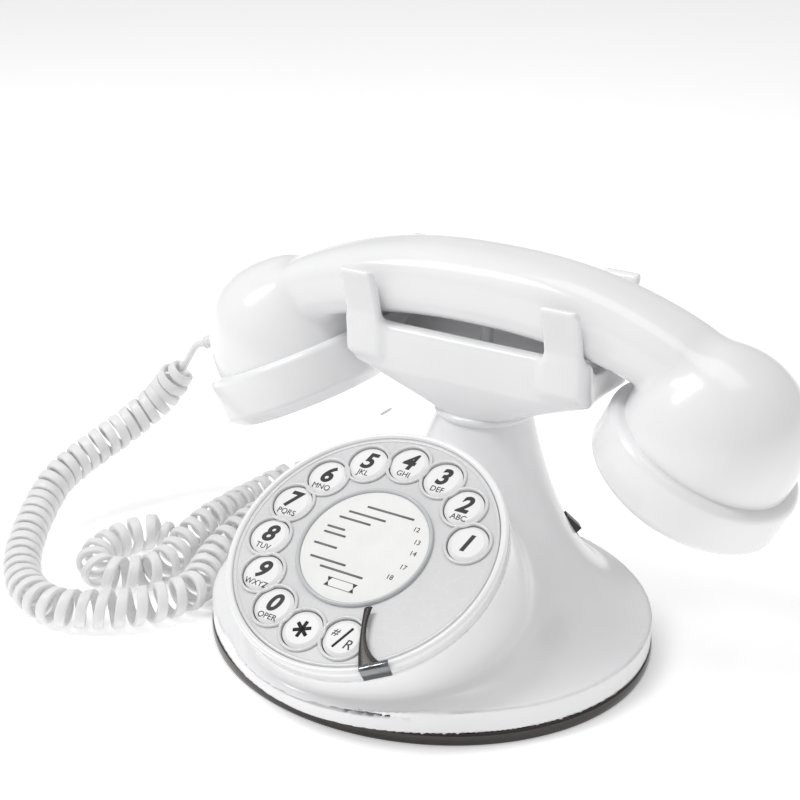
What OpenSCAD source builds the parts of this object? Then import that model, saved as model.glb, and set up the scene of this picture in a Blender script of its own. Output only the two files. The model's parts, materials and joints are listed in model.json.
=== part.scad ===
// Desk telephone with a pedestal cradle, a push-button dial and a curly handset cord.
// Millimetres, +Z up. Origin: middle of the base's underside. The dial faces -Y, the handset lies along X.

/* [Base] */
// Width of the oval base along X
base_w = 149; // [120:1:185]
// Depth of the oval base along Y
base_d = 136; // [120:1:165]
// Height of the dark base plate
plate_h = 4; // [3:0.5:6]
// Height of the shell's upright rim above the table
rim_h = 12; // [12:0.5:16]
// Wall of the base shell
wall = 2.4; // [2:0.2:3]
// Step in from the base plate's edge to the shell
shell_inset = 0.6; // [0.3:0.1:1.5]

/* [Neck] */
// Radius of the neck under the bead
neck_r = 15.8; // [13:0.2:18]
// Height of the neck's top above the table
neck_z = 67; // [62:1:80]
// Distance of the neck behind the base's middle
neck_y = 34.8; // [30:0.5:38]
// Height of the neck bead
bead_h = 2.8; // [2:0.2:4]

/* [Dial] */
// Radius of the dial housing
dial_r = 44.6; // [42:0.2:50]
// Tilt of the dial from flat
dial_tilt = 29.4; // [24:0.2:36]
// Distance of the dial's middle in front of the base's middle
dial_y = 38; // [34:0.5:40]
// Height of the dial's middle above the table
dial_z = 45.2; // [43:0.2:55]
// Radius of the circle of keys
key_pitch_r = 32.5; // [32:0.1:33.5]
// Radius of a key's top
key_r = 6.3; // [5.8:0.1:6.3]
// Play between a key and its hole
key_play = 0.35; // [0.3:0.05:0.4]
// Travel of a key
key_travel = 1.4; // [1:0.1:1.6]
// Radius of the label card
label_r = 20.4; // [18:0.2:21]

/* [Cradle] */
// Half length of the cradle
cradle_l = 46; // [44:1:54]
// Half depth of the cradle
cradle_d = 18.4; // [18:0.2:22]
// Height of the cradle's side walls above the table
cradle_top = 95.5; // [94:0.5:97]
// Half distance between the prongs along X
prong_x = 36.8; // [34:0.5:38]
// Width of a prong
prong_w = 13; // [8:0.5:14]
// Height of the prong tips above the table
prong_top = 114.5; // [108:0.5:120]
// Thickness of a prong
prong_t = 3.4; // [2.6:0.2:4]
// Outward flare of a prong's tip
prong_flare = 6; // [3:0.5:8]

/* [Handset] */
// Half distance between the two cap seams
cap_x = 78.8; // [76:0.2:86]
// Height of the cap seams' middle above the table
cap_z = 71.8; // [68:0.2:74]
// Lean of the domes from upright
dome_lean = 26; // [20:0.5:28]
// Radius of a dome at its seam
dome_r = 28.6; // [27:0.2:30]
// Height of a dome from its seam
dome_h = 33; // [32:0.5:36]
// Wall of the domes
dome_wall = 2.4; // [2:0.1:3]
// Radius of a cap at its widest
cap_r = 32.6; // [31:0.2:35]
// Height of a cap
cap_h = 19; // [15:0.5:20]
// Half width of the handle
handle_w = 16.4; // [14:0.2:17]
// Height of the handle's top above the table
handle_top = 122; // [119:0.5:128]
// Height of the handle's underside above the table
handle_bottom = 98; // [96.5:0.5:100]

/* [Fit] */
// Running gap around a sliding stem
run_gap = 0.06; // [0.03:0.01:0.1]
// Gap between pieces that move past each other
free_gap = 0.4; // [0.3:0.1:0.6]

/* [Hidden] */
$fn = 48;
white = [0.93, 0.93, 0.92];
dark = [0.16, 0.13, 0.12];
metal = [0.75, 0.76, 0.78];

// Base shell: its sections are ellipses that shrink and move back on the way up to the neck.
flare_power = 0.24;
flare_sharpness = 0.55;
shell_levels = 15;
level_power = 1.6;
roof_drop = 1.8;
shell_sides = 48;
function flare_share(z) =
    let (t = max(0, min(1, (z - rim_h) / (neck_z - rim_h))))
    pow((1 + cos(180 * pow(t, flare_power))) / 2, flare_sharpness);
function shell_half_w(z) = neck_r + (base_w / 2 - shell_inset - neck_r) * flare_share(z);
function shell_half_d(z) = neck_r + (base_d / 2 - shell_inset - neck_r) * flare_share(z);
function shell_mid_y(z) = neck_y * (1 - flare_share(z));
function shell_level(i) =
    i == 0 ? plate_h : rim_h + (neck_z - rim_h) * pow((i - 1) / (shell_levels - 1), level_power);

// A stack of rings of points, skinned into one closed solid. The points of a ring run
// clockwise when seen from the last ring.
function ring_faces(count, sides) = concat(
    [[for (j = [0 : sides - 1]) sides - 1 - j]],
    [for (i = [0 : count - 2]) for (j = [0 : sides - 1])
        [i * sides + j, (i + 1) * sides + (j + 1) % sides, (i + 1) * sides + j]],
    [for (i = [0 : count - 2]) for (j = [0 : sides - 1])
        [i * sides + j, i * sides + (j + 1) % sides, (i + 1) * sides + (j + 1) % sides]],
    [[for (j = [0 : sides - 1]) (count - 1) * sides + j]]);
module skin(rings) {
    polyhedron([for (ring = rings) each ring], ring_faces(len(rings), len(rings[0])), convexity = 8);
}

module oval(half_w, half_d, height) {
    linear_extrude(height)
        polygon([for (i = [0 : 95]) [half_w * cos(i * 3.75), half_d * sin(i * 3.75)]]);
}

module flare(inset, foot, head) {
    skin([for (i = [0 : shell_levels])
        let (z = shell_level(i),
            place = i == 0 ? z - foot : i == shell_levels ? z + head : z)
        [for (j = [0 : shell_sides - 1])
            let (a = -360 * j / shell_sides)
            [(shell_half_w(z) - inset) * cos(a), shell_mid_y(z) + (shell_half_d(z) - inset) * sin(a),
                place]]]);
}

// Places its children in the dial's own frame: origin in the dial's middle, +Z out of the dial.
module on_dial(depth = 0) {
    translate([0, -dial_y, dial_z])
        rotate([dial_tilt, 0, 0])
        translate([0, 0, depth])
        children();
}

key_step = 24.4;
first_key = 20;
function key_angle(i) = first_key + key_step * i;
key_count = 12;
module on_key(i, depth = 0) {
    on_dial(depth)
        rotate(key_angle(i))
        translate([key_pitch_r, 0, 0])
        children();
}

// Heights in the dial's frame, from the wheel's top down to the board.
wheel_top = 1.2;
wheel_t = 1.6;
plate_top = wheel_top - wheel_t;
plate_t = 1.6;
housing_top = -3;
wheel_r = dial_r - 2.5;
key_top = 1;
key_crown = 0.5;
tab_gap = 0.1;
tab_t = 1;
tab_w = 5;
tab_reach = 1.2;
tab_top = plate_top - plate_t - tab_gap;
membrane_t = 1.2;
membrane_top = tab_top - tab_t - key_travel - 0.2;
board_t = 1.6;
board_top = membrane_top - membrane_t;
housing_r = dial_r - 0.6;
housing_wall = 2.4;
board_r = housing_r - housing_wall - 0.8;
ledge_r = wheel_r - 1.4;
post_pitch_r = 38;
post_r = 1.2;

screw_r = 1.5;
screw_head_r = 3;
screw_head_h = 1.6;
screw_recess = 0.6;
boss_r = 3.6;
boss_top = 11;
boss_angles = [12, 60, 168, 270];
function rim_point(angle, inset) = [(base_w / 2 - shell_inset - inset) * cos(angle),
    (base_d / 2 - shell_inset - inset) * sin(angle)];
screw_spots = [for (angle = boss_angles) rim_point(angle, wall + boss_r - 1.2)];
pad_r = 6;
pad_t = 1.6;
pad_spots = [[-44, -36], [44, -36], [-44, 38], [44, 38]];

module base_plate() {
    color(dark) difference() {
        oval(base_w / 2, base_d / 2, plate_h);
        for (spot = pad_spots) translate([spot.x, spot.y, -1])
            cylinder(r = pad_r, h = pad_t + 1);
        for (spot = screw_spots) translate([spot.x, spot.y, -1]) {
            cylinder(r = screw_r + 0.3, h = plate_h + 2);
            cylinder(r = screw_head_r + 0.4, h = 1 + screw_recess + screw_head_h);
        }
    }
}

module foot_pads() {
    color([0.1, 0.1, 0.1]) for (spot = pad_spots) translate([spot.x, spot.y, 0])
        cylinder(r = pad_r, h = pad_t);
}

module base_screws() {
    color(metal) for (spot = screw_spots) translate([spot.x, spot.y, screw_recess])
        difference() {
            union() {
                cylinder(r = screw_head_r, h = screw_head_h);
                cylinder(r = screw_r, h = boss_top - screw_recess - 1.2);
            }
            translate([0, 0, -0.1]) cylinder(r = 1.1, h = 1.1, $fn = 6);
        }
}

ballast_t = 2.4;
ballast_half_w = 26;
ballast_y = [-36, 2];
module ballast_weight() {
    color([0.35, 0.35, 0.37])
        translate([-ballast_half_w, ballast_y[0], plate_h])
        cube([2 * ballast_half_w, ballast_y[1] - ballast_y[0], ballast_t]);
}

// Jacks and the volume switch sit in the shell's rear wall.
jack_w = 14;
jack_h = 8;
jack_depth = 11;
jack_z = plate_h;
jack_hole_w = 7;
jack_hole_h = 6;
handset_jack_angle = 112;
line_jack_angle = 90;
module at_rim(angle, inset) {
    translate([rim_point(angle, inset).x, rim_point(angle, inset).y, 0])
        rotate(atan2(sin(angle) * base_w, cos(angle) * base_d))
        children();
}

// The volume switch sits on the shell's rear right slope; its frame has +Z out of the slope.
volume_angle = 40;
volume_z = 27;
volume_knob_l = 7;
volume_knob_w = 4;
volume_travel = 2;
volume_slot = volume_knob_l + 2 * volume_travel + 2 * free_gap;
volume_slope = (shell_half_w(volume_z - 1) - shell_half_w(volume_z + 1)) / 2;
module on_flare() {
    translate([shell_half_w(volume_z) * cos(volume_angle),
            shell_mid_y(volume_z) + shell_half_d(volume_z) * sin(volume_angle), volume_z])
        rotate([0, 90 - atan(volume_slope), volume_angle])
        children();
}

stem_r = 2.2;
neck_stem_r = 7;
neck_stem_l = 9;
module base_shell() {
    color(white) difference() {
        union() {
            difference() {
                union() {
                    flare(0, 0, 0);
                    on_dial(housing_top - 90) cylinder(r = housing_r, h = 90, $fn = 96);
                }
                translate([0, 0, -roof_drop]) flare(wall, 5, -wall);
                on_dial(housing_top - 91)
                    cylinder(r = housing_r - housing_wall, h = 92, $fn = 96);
                translate([-120, -120, plate_h - 100]) cube([240, 240, 100]);
            }
            for (spot = screw_spots) translate([spot.x, spot.y, plate_h])
                cylinder(r = boss_r, h = boss_top - plate_h);
        }
        for (spot = screw_spots) translate([spot.x, spot.y, plate_h - 1])
            cylinder(r = screw_r, h = boss_top - plate_h - 0.5);
        translate([0, neck_y, neck_z - 12]) cylinder(r = neck_stem_r + 0.2, h = 20);
        at_rim(handset_jack_angle, 5) translate([-jack_depth + 3.8, -jack_w / 2 - 0.1, jack_z - 1])
            cube([20 + jack_depth, jack_w + 0.2, jack_h + 1.1]);
        at_rim(line_jack_angle, 5) translate([-jack_depth + 3.8, -jack_w / 2 - 0.1, jack_z - 1])
            cube([20 + jack_depth, jack_w + 0.2, jack_h + 1.1]);
        on_flare() translate([-volume_slot / 2, -volume_knob_w / 2 - free_gap, -6])
            cube([volume_slot, volume_knob_w + 2 * free_gap, 12]);
    }
}

module neck_bead() {
    color(white) translate([0, neck_y, neck_z - bead_h / 2])
        rotate_extrude($fn = 96)
        difference() {
            translate([neck_r, bead_h / 2]) circle(d = bead_h);
            square([neck_r - 0.4, bead_h + 1]);
        }
}

// The handle droops towards its ends.
handle_l = 94;
handle_droop = 26;
droop_power = 2.3;
function droop(x) = handle_droop * pow(abs(x) / handle_l, droop_power);

// Cradle: a boat on a round stem, hollowed along X for the handle, with four prongs.
cradle_seat = neck_z;
trough_floor = 88.5;
trough_r = 14.6;
cradle_corner = 80;
cradle_rim_l = cradle_l + 2;
module cradle_hull() {
    hull() {
        translate([0, neck_y, cradle_seat]) cylinder(r = neck_r - 1, h = 2, $fn = 32);
        for (sx = [-1, 1]) for (sy = [-1, 1]) {
            translate([sx * (cradle_l - 6), neck_y + sy * (cradle_d - 6), cradle_corner + 3])
                sphere(r = 4.5, $fn = 24);
            translate([sx * (cradle_rim_l - 4), neck_y + sy * (cradle_d - 4), cradle_top - 3.5])
                sphere(r = 3.5, $fn = 24);
        }
    }
}
function prong_line(t) = [cradle_d - prong_t + prong_flare * t * t, 
    cradle_corner + 8 + (prong_top - cradle_corner - 8) * t];
prong_steps = 10;
saddle_w = 4;
saddle_top = handle_bottom - droop(prong_x + saddle_w / 2) - 0.3;
module prong() {
    rotate([90, 0, 90]) linear_extrude(prong_w, center = true)
        polygon(concat(
            [for (i = [0 : prong_steps]) prong_line(i / prong_steps)],
            [for (i = [prong_steps : -1 : 0]) prong_line(i / prong_steps) + [prong_t, 0]]));
}
cap_edge_h = 3.8;

// The way a cap takes past the cradle as the handset lifts.
cap_path_gap = 0.5;
module cap_path(side) {
    translate([side * (cap_x - sin(dome_lean) * (cap_h - cap_edge_h)), neck_y, cradle_seat])
        oval((cap_r + cap_path_gap) * cos(dome_lean), cap_r + cap_path_gap, prong_top);
}
module cradle() {
    color(white) difference() {
        union() {
            cradle_hull();
            for (sx = [-1, 1]) translate([sx * prong_x, neck_y, 0]) {
                prong();
                mirror([0, 1, 0]) prong();
            }
            translate([0, neck_y, cradle_seat - neck_stem_l]) cylinder(r = neck_stem_r, h = neck_stem_l + 1);
        }
        translate([-100, neck_y - handle_w - free_gap, cradle_top])
            cube([200, 2 * (handle_w + free_gap), 60]);
        translate([-100, neck_y, trough_floor + trough_r]) rotate([0, 90, 0])
            cylinder(r = trough_r, h = 200);
        translate([0, neck_y, 40]) cylinder(r = stem_r + run_gap, h = 70);
        for (side = [-1, 1]) cap_path(side);
    }
    color(white) for (sx = [-1, 1])
        translate([sx * prong_x - saddle_w / 2, neck_y - trough_r + 1, trough_floor - 1])
            cube([saddle_w, 2 * trough_r - 2, saddle_top - trough_floor + 1]);
}

nut_h = 4.4;
module cradle_nut() {
    color(metal) translate([0, neck_y, neck_z - wall - roof_drop - nut_h]) difference() {
        cylinder(r = 11, h = nut_h, $fn = 6);
        translate([0, 0, -1]) cylinder(r = neck_stem_r, h = nut_h + 2);
    }
}

// Dial.
module dial_bezel() {
    color(white) on_dial() rotate_extrude($fn = 128) union() {
        translate([ledge_r, housing_top]) square([dial_r - ledge_r - 0.4, 1]);
        translate([wheel_r + 0.15, housing_top]) square([dial_r - wheel_r - 0.55, wheel_top - housing_top]);
        translate([(wheel_r + 0.15 + dial_r) / 2, wheel_top - 0.4])
            circle(r = (dial_r - wheel_r - 0.15) / 2, $fn = 32);
    }
}

module dial_plate() {
    color(white) difference() {
        on_dial(plate_top - plate_t) cylinder(r = wheel_r, h = plate_t, $fn = 128);
        for (i = [0 : key_count - 1]) on_key(i, plate_top - plate_t - 1)
            cylinder(r = key_r + key_play, h = plate_t + 2);
    }
    color(white) for (i = [1 : 3 : key_count - 1])
        on_dial(membrane_top) rotate(key_angle(i + 0.5)) translate([post_pitch_r, 0, 0])
            cylinder(r = post_r, h = plate_top - plate_t - membrane_top + 0.2);
}

module finger_wheel() {
    color([0.85, 0.87, 0.88, 0.6]) difference() {
        on_dial(wheel_top - wheel_t) cylinder(r = wheel_r, h = wheel_t, $fn = 128);
        for (i = [0 : key_count - 1]) on_key(i, wheel_top - wheel_t - 1)
            cylinder(r = key_r + key_play, h = wheel_t + 2);
    }
}

card_t = 0.4;
module label_card() {
    color("white") on_dial(wheel_top) cylinder(r = label_r, h = card_t, $fn = 96);
}

ring_w = 1.6;
ring_h = 1.2;
module label_ring() {
    color([0.85, 0.87, 0.88, 0.6]) on_dial(wheel_top) rotate_extrude($fn = 96)
        translate([label_r + 0.1, 0]) square([ring_w, ring_h]);
}

// The finger stop: a blade over the wheel, folded down over the bezel.
stop_angle = 303;
stop_t = 0.8;
stop_reach = 24;
stop_w = 9;
stop_gap = 1.7;
stop_top = wheel_top + stop_gap;
stop_drop = 5;
stop_out = dial_r + 0.6;
module finger_stop() {
    color(metal) on_dial(stop_top) rotate(stop_angle) {
        linear_extrude(stop_t) polygon([[stop_out, -3.6], [stop_out, stop_w - 3.6], [42, 2.2], [37, -0.2],
            [33.5, -0.9], [30, -0.3], [stop_reach, 1.7], [stop_reach, -0.8], [33, -2.9], [41, -4.6]]);
        translate([stop_out, -3.6, stop_t - stop_drop]) cube([stop_t, stop_w, stop_drop]);
        translate([dial_r - 1, -3.6, stop_t - stop_drop]) cube([stop_out - dial_r + 1.2, stop_w, stop_t]);
    }
}

module keypad_membrane() {
    color([0.8, 0.8, 0.8]) on_dial(board_top) cylinder(r = board_r, h = membrane_t, $fn = 96);
}

module keypad_board() {
    color([0.2, 0.45, 0.25]) on_dial(board_top - board_t) cylinder(r = board_r, h = board_t, $fn = 96);
}

module key(i) {
    color(white) {
        on_key(i, tab_top - tab_t) rotate_extrude() polygon([[0, 0], [key_r, 0],
            [key_r, key_top - tab_top + tab_t], [key_r - 1.2, key_top - tab_top + tab_t + key_crown],
            [0, key_top - tab_top + tab_t + key_crown]]);
        on_key(i, tab_top - tab_t) translate([-key_r - tab_reach, -tab_w / 2, 0])
            cube([2 * (key_r + tab_reach), tab_w, tab_t]);
    }
}

// Works in the base.
board_z = 8.4;
main_board_t = 1.6;
board_half_w = 32;
board_y = [-38, 3];
post_inset = 3;
module main_board() {
    color([0.2, 0.45, 0.25]) {
        translate([-board_half_w, board_y[0], board_z])
            cube([2 * board_half_w, board_y[1] - board_y[0], main_board_t]);
        for (x = [-board_half_w + post_inset, board_half_w - post_inset])
            for (y = [board_y[0] + post_inset, board_y[1] - post_inset])
                translate([x, y, plate_h]) cylinder(r = 2, h = board_z - plate_h + 0.2);
    }
}

gong_r = 15;
gong_h = 8;
gong_wall = 1.2;
gong_x = 17.5;
gong_y = 36;
gong_z = 9;
gong_post_r = 2;
bracket_t = 1.6;
hook_post = [44, 48];
hook_switch_z = 22;
hook_switch_h = 8;
hook_switch_w = 12;
clapper_y = 23;
clapper_pin_r = 1.2;
clapper_z = 12;
module ringer_bracket() {
    color(metal) {
        translate([-gong_x - 6, clapper_y - 4, plate_h])
            cube([2 * gong_x + 12, hook_post[1] - clapper_y + 4, bracket_t]);
        for (sx = [-1, 1]) translate([sx * gong_x, gong_y, plate_h + bracket_t - 0.2])
            cylinder(r = gong_post_r, h = gong_z + gong_h - plate_h - bracket_t + 0.2);
        translate([-3, hook_post[0], plate_h + bracket_t - 0.2])
            cube([6, hook_post[1] - hook_post[0], hook_switch_z + hook_switch_h - plate_h - bracket_t]);
        translate([0, clapper_y, plate_h + bracket_t - 0.2])
            cylinder(r = clapper_pin_r, h = clapper_z + 4 - plate_h - bracket_t);
    }
}

module bell_gongs() {
    color([0.8, 0.7, 0.4]) for (sx = [-1, 1]) translate([sx * gong_x, gong_y, gong_z])
        rotate_extrude() difference() {
            union() {
                translate([gong_post_r, gong_h - gong_wall]) square([gong_r - 4 - gong_post_r, gong_wall]);
                translate([gong_r - gong_wall, 0]) square([gong_wall, gong_h - 4]);
                translate([gong_r - 4, gong_h - 4]) intersection() {
                    difference() {
                        circle(r = 4, $fn = 32);
                        circle(r = 4 - gong_wall, $fn = 32);
                    }
                    square(5);
                }
            }
        }
}

coil_r = 5.5;
coil_l = 18;
coil_y = 12;
module ringer_coil() {
    color([0.6, 0.3, 0.15]) {
        translate([-coil_l / 2, coil_y, clapper_z]) rotate([0, 90, 0]) cylinder(r = coil_r, h = coil_l);
        translate([-coil_l / 2 - 1.4, coil_y - 4, plate_h]) cube([1.6, 8, clapper_z + 4 - plate_h]);
        translate([coil_l / 2 - 0.2, coil_y - 4, plate_h]) cube([1.6, 8, clapper_z + 4 - plate_h]);
    }
}

ball_r = 1.5;
module clapper() {
    color(metal) difference() {
        union() {
            translate([0, clapper_y, clapper_z - 1.5]) cylinder(r = 2.6, h = 3);
            translate([0, clapper_y + 2, clapper_z]) rotate([-90, 0, 0])
                cylinder(r = 0.7, h = gong_y - clapper_y - 2);
            translate([0, gong_y, clapper_z]) sphere(r = ball_r);
            translate([-5, clapper_y - 4.2, clapper_z - 1.5]) cube([10, 2.4, 3]);
        }
        translate([0, clapper_y, clapper_z - 5]) cylinder(r = clapper_pin_r + run_gap, h = 10);
    }
}

module hook_switch() {
    color(dark) translate([-hook_switch_w / 2, neck_y - 6, hook_switch_z])
        cube([hook_switch_w, hook_post[0] - neck_y + 6, hook_switch_h]);
}

plunger_rise = 4;
collar_z = 38;
collar_h = 2;
collar_r = 5;
spring_r = 4.2;
spring_wire = 1.2;
plunger_top = handle_bottom - 0.2;
module hook_plunger() {
    color(white) translate([0, neck_y, 0]) {
        translate([0, 0, hook_switch_z + hook_switch_h + 0.3])
            cylinder(r = stem_r, h = plunger_top - hook_switch_z - hook_switch_h - 0.3);
        translate([0, 0, collar_z]) cylinder(r = collar_r, h = collar_h);
    }
}

module hook_spring() {
    color(metal) translate([0, neck_y, hook_switch_z + hook_switch_h]) difference() {
        cylinder(r = spring_r, h = collar_z - hook_switch_z - hook_switch_h);
        translate([0, 0, -1]) cylinder(r = spring_r - spring_wire, h = 20);
    }
}

module jack(angle) {
    color(dark) at_rim(angle, 5) translate([-jack_depth + 4, -jack_w / 2, jack_z]) difference() {
        cube([jack_depth, jack_w, jack_h]);
        translate([jack_depth - 8, (jack_w - jack_hole_w) / 2, (jack_h - jack_hole_h) / 2])
            cube([12, jack_hole_w, jack_hole_h]);
    }
}

housing_t = 3;
housing_w = 8;
module volume_housing() {
    color(dark) on_flare() translate([-volume_slot / 2 - 1, -housing_w / 2, -wall - housing_t - 1.2])
        cube([volume_slot + 2, housing_w, housing_t]);
    color(dark) on_flare() for (x = [-volume_slot / 2 - 1, volume_slot / 2 - 0.2])
        translate([x, -housing_w / 2, -wall - 1.4]) cube([1.2, housing_w, wall - 0.2]);
}

module volume_switch() {
    color([0.3, 0.3, 0.3]) on_flare()
        translate([-volume_knob_l / 2, -volume_knob_w / 2, -wall - 1])
        cube([volume_knob_l, volume_knob_w, wall + 1 + 1.6]);
}

// Handset: places its children on the right dome's axis, +Z up and out of the cap's seam.
module on_dome(side) {
    translate([side * cap_x, neck_y, cap_z])
        rotate([0, side * dome_lean, 0])
        children();
}

dome_power = 2.3;
function dome_radius(h) = dome_r * pow(max(0, 1 - pow(h / dome_h, dome_power)), 1 / dome_power);
dome_steps = 18;
module dome_profile(r, h) {
    polygon(concat([[0, 0]], [for (i = [0 : dome_steps - 1])
        let (a = 90 * i / dome_steps)
        [r * pow(cos(a), 2 / dome_power), h * pow(sin(a), 2 / dome_power)]], [[0, h]]));
}

// The handle's sections: rounded boxes along X that droop and close into the domes.
handle_nose = 24;
handle_sides = 32;
handle_steps = 26;
handle_round = 0.7;
function closing(x) = sqrt(max(0.02, 1 - pow(max(0, abs(x) - handle_l + handle_nose) / handle_nose, 2)));
function sign_pow(v, e) = sign(v) * pow(abs(v), e);
function handle_point(x, a) =
    [x, neck_y + handle_w * closing(x) * sign_pow(cos(a), handle_round),
        (handle_top + handle_bottom) / 2 - droop(x)
            + (handle_top - handle_bottom) / 2 * closing(x) * sign_pow(sin(a), handle_round)];
module handle() {
    skin([for (i = [0 : handle_steps])
        [for (j = [0 : handle_sides - 1])
            handle_point(-handle_l * cos(180 * i / handle_steps), -360 * j / handle_sides)]]);
}

module handset_body() {
    color(white) difference() {
        union() {
            handle();
            for (side = [-1, 1]) on_dome(side) rotate_extrude($fn = 64) dome_profile(dome_r, dome_h);
        }
        for (side = [-1, 1]) on_dome(side) translate([0, 0, -0.01]) rotate_extrude($fn = 64)
            dome_profile(dome_r - dome_wall, dome_h - dome_wall);
    }
}

cap_wall = 2.2;
cap_edge_w = 4.6;
cap_shoulder = 1.6;
cap_bore = dome_r - dome_wall - 1;
cap_hole_r = 1.1;
cap_hole_pitch = 8;
module cap(side) {
    color(white) on_dome(side) mirror([0, 0, 1]) difference() {
        rotate_extrude($fn = 96) polygon([[0, cap_h], [cap_r - cap_edge_w, cap_h], [cap_r, cap_h - cap_edge_h],
            [cap_r, cap_shoulder], [cap_r - 1.2, 0], [cap_bore, 0], [cap_bore, cap_h - cap_wall - 1],
            [cap_bore - 1, cap_h - cap_wall], [0, cap_h - cap_wall]]);
        translate([0, 0, cap_h - cap_wall - 1]) cylinder(r = cap_hole_r, h = cap_wall + 2);
        for (i = [0 : 5]) rotate(60 * i) translate([cap_hole_pitch, 0, cap_h - cap_wall - 1])
            cylinder(r = cap_hole_r, h = cap_wall + 2);
    }
}

module ear_cap() { cap(1); }
module mouth_cap() { cap(-1); }

capsule_r = 20;
module receiver_capsule() {
    color(metal) on_dome(1) translate([0, 0, -cap_h + cap_wall])
        cylinder(r1 = capsule_r, r2 = capsule_r - 3, h = 9);
}
module microphone() {
    color(dark) on_dome(-1) translate([0, 0, -cap_h + cap_wall]) cylinder(r = 5, h = 5);
}
weight_z = 8;
weight_t = 3;
weight_r = (dome_r - dome_wall)
    * pow(1 - pow((weight_z + weight_t / 2) / (dome_h - dome_wall), dome_power), 1 / dome_power);
module handset_weight() {
    color([0.4, 0.4, 0.42]) for (side = [-1, 1]) on_dome(side) translate([0, 0, weight_z])
        cylinder(r = weight_r + 0.2, h = weight_t, $fn = 64);
}

// Handset cord. It leaves the mouthpiece dome's outer side, hangs to the table as a curly cord,
// runs along the base, turns back on itself twice and ends in a plug in the rear jack.
lead_r = 1.3;
coil_outer_r = 6.6;
relief_h = 12;
relief_l = 13;
relief_r = 3.2;
relief_root = dome_radius(relief_h) - 0.6;
lead_gap = 0.1;
relief_reach = relief_root + relief_l + lead_gap;
relief_end = [-cap_x - cos(dome_lean) * relief_reach - sin(dome_lean) * relief_h, neck_y,
    cap_z - sin(dome_lean) * relief_reach + cos(dome_lean) * relief_h];
module strain_relief() {
    color(white) on_dome(-1) translate([-relief_root, 0, relief_h]) rotate([0, -90, 0]) {
        cylinder(r = relief_r - 0.9, h = relief_l);
        for (i = [0 : 6]) translate([0, 0, 1 + i * 1.7]) cylinder(r = relief_r - 0.12 * i, h = 0.9);
    }
}

coil_start = [-131, 34.2, 53.6];
coil_end = [-107, -4, 7];
lead_route = [relief_end, relief_end + [-5, 0, -2.6], coil_start];
coil_route = [coil_start, [-139, 30, 41], [-146, 19, 32], [-150, 8, 27], [-153, -2, 23], [-154, -13, 19],
    [-151, -25, 14], [-145, -37, 11], [-137, -49, 8.5], [-127, -59, 7], [-115, -65.5, 7], [-103, -66.5, 7],
    [-92.5, -61.5, 7], [-85, -56, 7], [-79.3, -49.3, 7], [-75.2, -41.5, 7], [-73, -33.5, 7], [-76, -25, 7],
    [-80, -14, 7.6],
    [-82, -3, 9], [-83, 8, 9.8], [-84, 20, 9.2], [-84, 32, 7.6], [-81, 44, 7], [-81, 55, 7],
    [-89, 61.5, 7], [-97, 54, 7], [-98.5, 42, 7], [-99, 30, 7.4], [-98, 18, 8.6], [-97, 7, 9.8],
    [-96, -3, 9.5], [-95, -13, 8.2], [-93.2, -22, 7.2], [-93.4, -31, 7], [-98.5, -38, 7], [-107, -41, 7],
    [-114.5, -37, 7], [-118, -28.5, 7], [-117.5, -18, 7], [-113.5, -9, 7], coil_end];
plug_l = 12;
tail_angle = atan2(sin(handset_jack_angle) * base_w, cos(handset_jack_angle) * base_d);
plug_tip = rim_point(handset_jack_angle, 5) + (plug_l - 4) * [cos(tail_angle), sin(tail_angle)];
tail_end = [plug_tip.x, plug_tip.y, jack_z + jack_h / 2];
tail_route = [coil_end, [-103.5, -1.2, 4.6], [-98.5, 2.5, 1.8], [-90, 6.5, 1.6], [-81, 11, 1.6],
    [-76.2, 20, 1.6], [-70.5, 33, 1.6], [-62, 45, 1.6], [-50, 57, 1.8], [-41, 67, 4], [-35.5, 74, 8],
    tail_end + 5 * [cos(tail_angle), sin(tail_angle), 0], tail_end];

// A closed tube swept along a list of points, its rings square to the path.
function unit(v) = v / norm(v);
function heading(points, i) =
    unit(points[min(i + 1, len(points) - 1)] - points[max(i - 1, 0)]);
function tube_ring(at, along, r, sides) =
    let (side = unit(cross(along, [0, 0, 1])), up = cross(side, along))
    [for (j = [0 : sides - 1]) at + r * (cos(360 * j / sides) * side + sin(360 * j / sides) * up)];
module tube(points, r, sides) {
    skin([for (i = [0 : len(points) - 1]) tube_ring(points[i], heading(points, i), r, sides)]);
}

module cord_lead() {
    color(white) tube(lead_route, lead_r, 8);
}

module cord_coil() {
    color(white) tube(coil_route, coil_outer_r, 12);
}

module cord_tail() {
    color(white) tube(tail_route, lead_r, 8);
}

plug_play = 0.2;
module cord_plug() {
    color([0.85, 0.87, 0.88]) at_rim(handset_jack_angle, 5)
        translate([-4, -jack_hole_w / 2 + plug_play, jack_z + (jack_h - jack_hole_h) / 2 + plug_play])
        cube([plug_l, jack_hole_w - 2 * plug_play, jack_hole_h - 2 * plug_play]);
}

module line_jack() { jack(line_jack_angle); }
module handset_jack() { jack(handset_jack_angle); }

base_plate();
foot_pads();
base_screws();
ballast_weight();
base_shell();
neck_bead();
cradle();
cradle_nut();
dial_bezel();
dial_plate();
finger_wheel();
finger_stop();
label_card();
label_ring();
keypad_membrane();
keypad_board();
main_board();
hook_plunger();
hook_spring();
hook_switch();
ringer_bracket();
bell_gongs();
ringer_coil();
clapper();
line_jack();
handset_jack();
volume_housing();
volume_switch();
handset_body();
ear_cap();
mouth_cap();
receiver_capsule();
microphone();
handset_weight();
strain_relief();
cord_lead();
cord_coil();
cord_tail();
cord_plug();
key(0);  // key_1
key(1);  // key_2
key(2);  // key_3
key(3);  // key_4
key(4);  // key_5
key(5);  // key_6
key(6);  // key_7
key(7);  // key_8
key(8);  // key_9
key(9);  // key_0
key(10);  // key_star
key(11);  // key_hash
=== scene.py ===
"""Looks of a pedestal desk telephone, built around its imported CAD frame. Metres, +Z up."""

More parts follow.
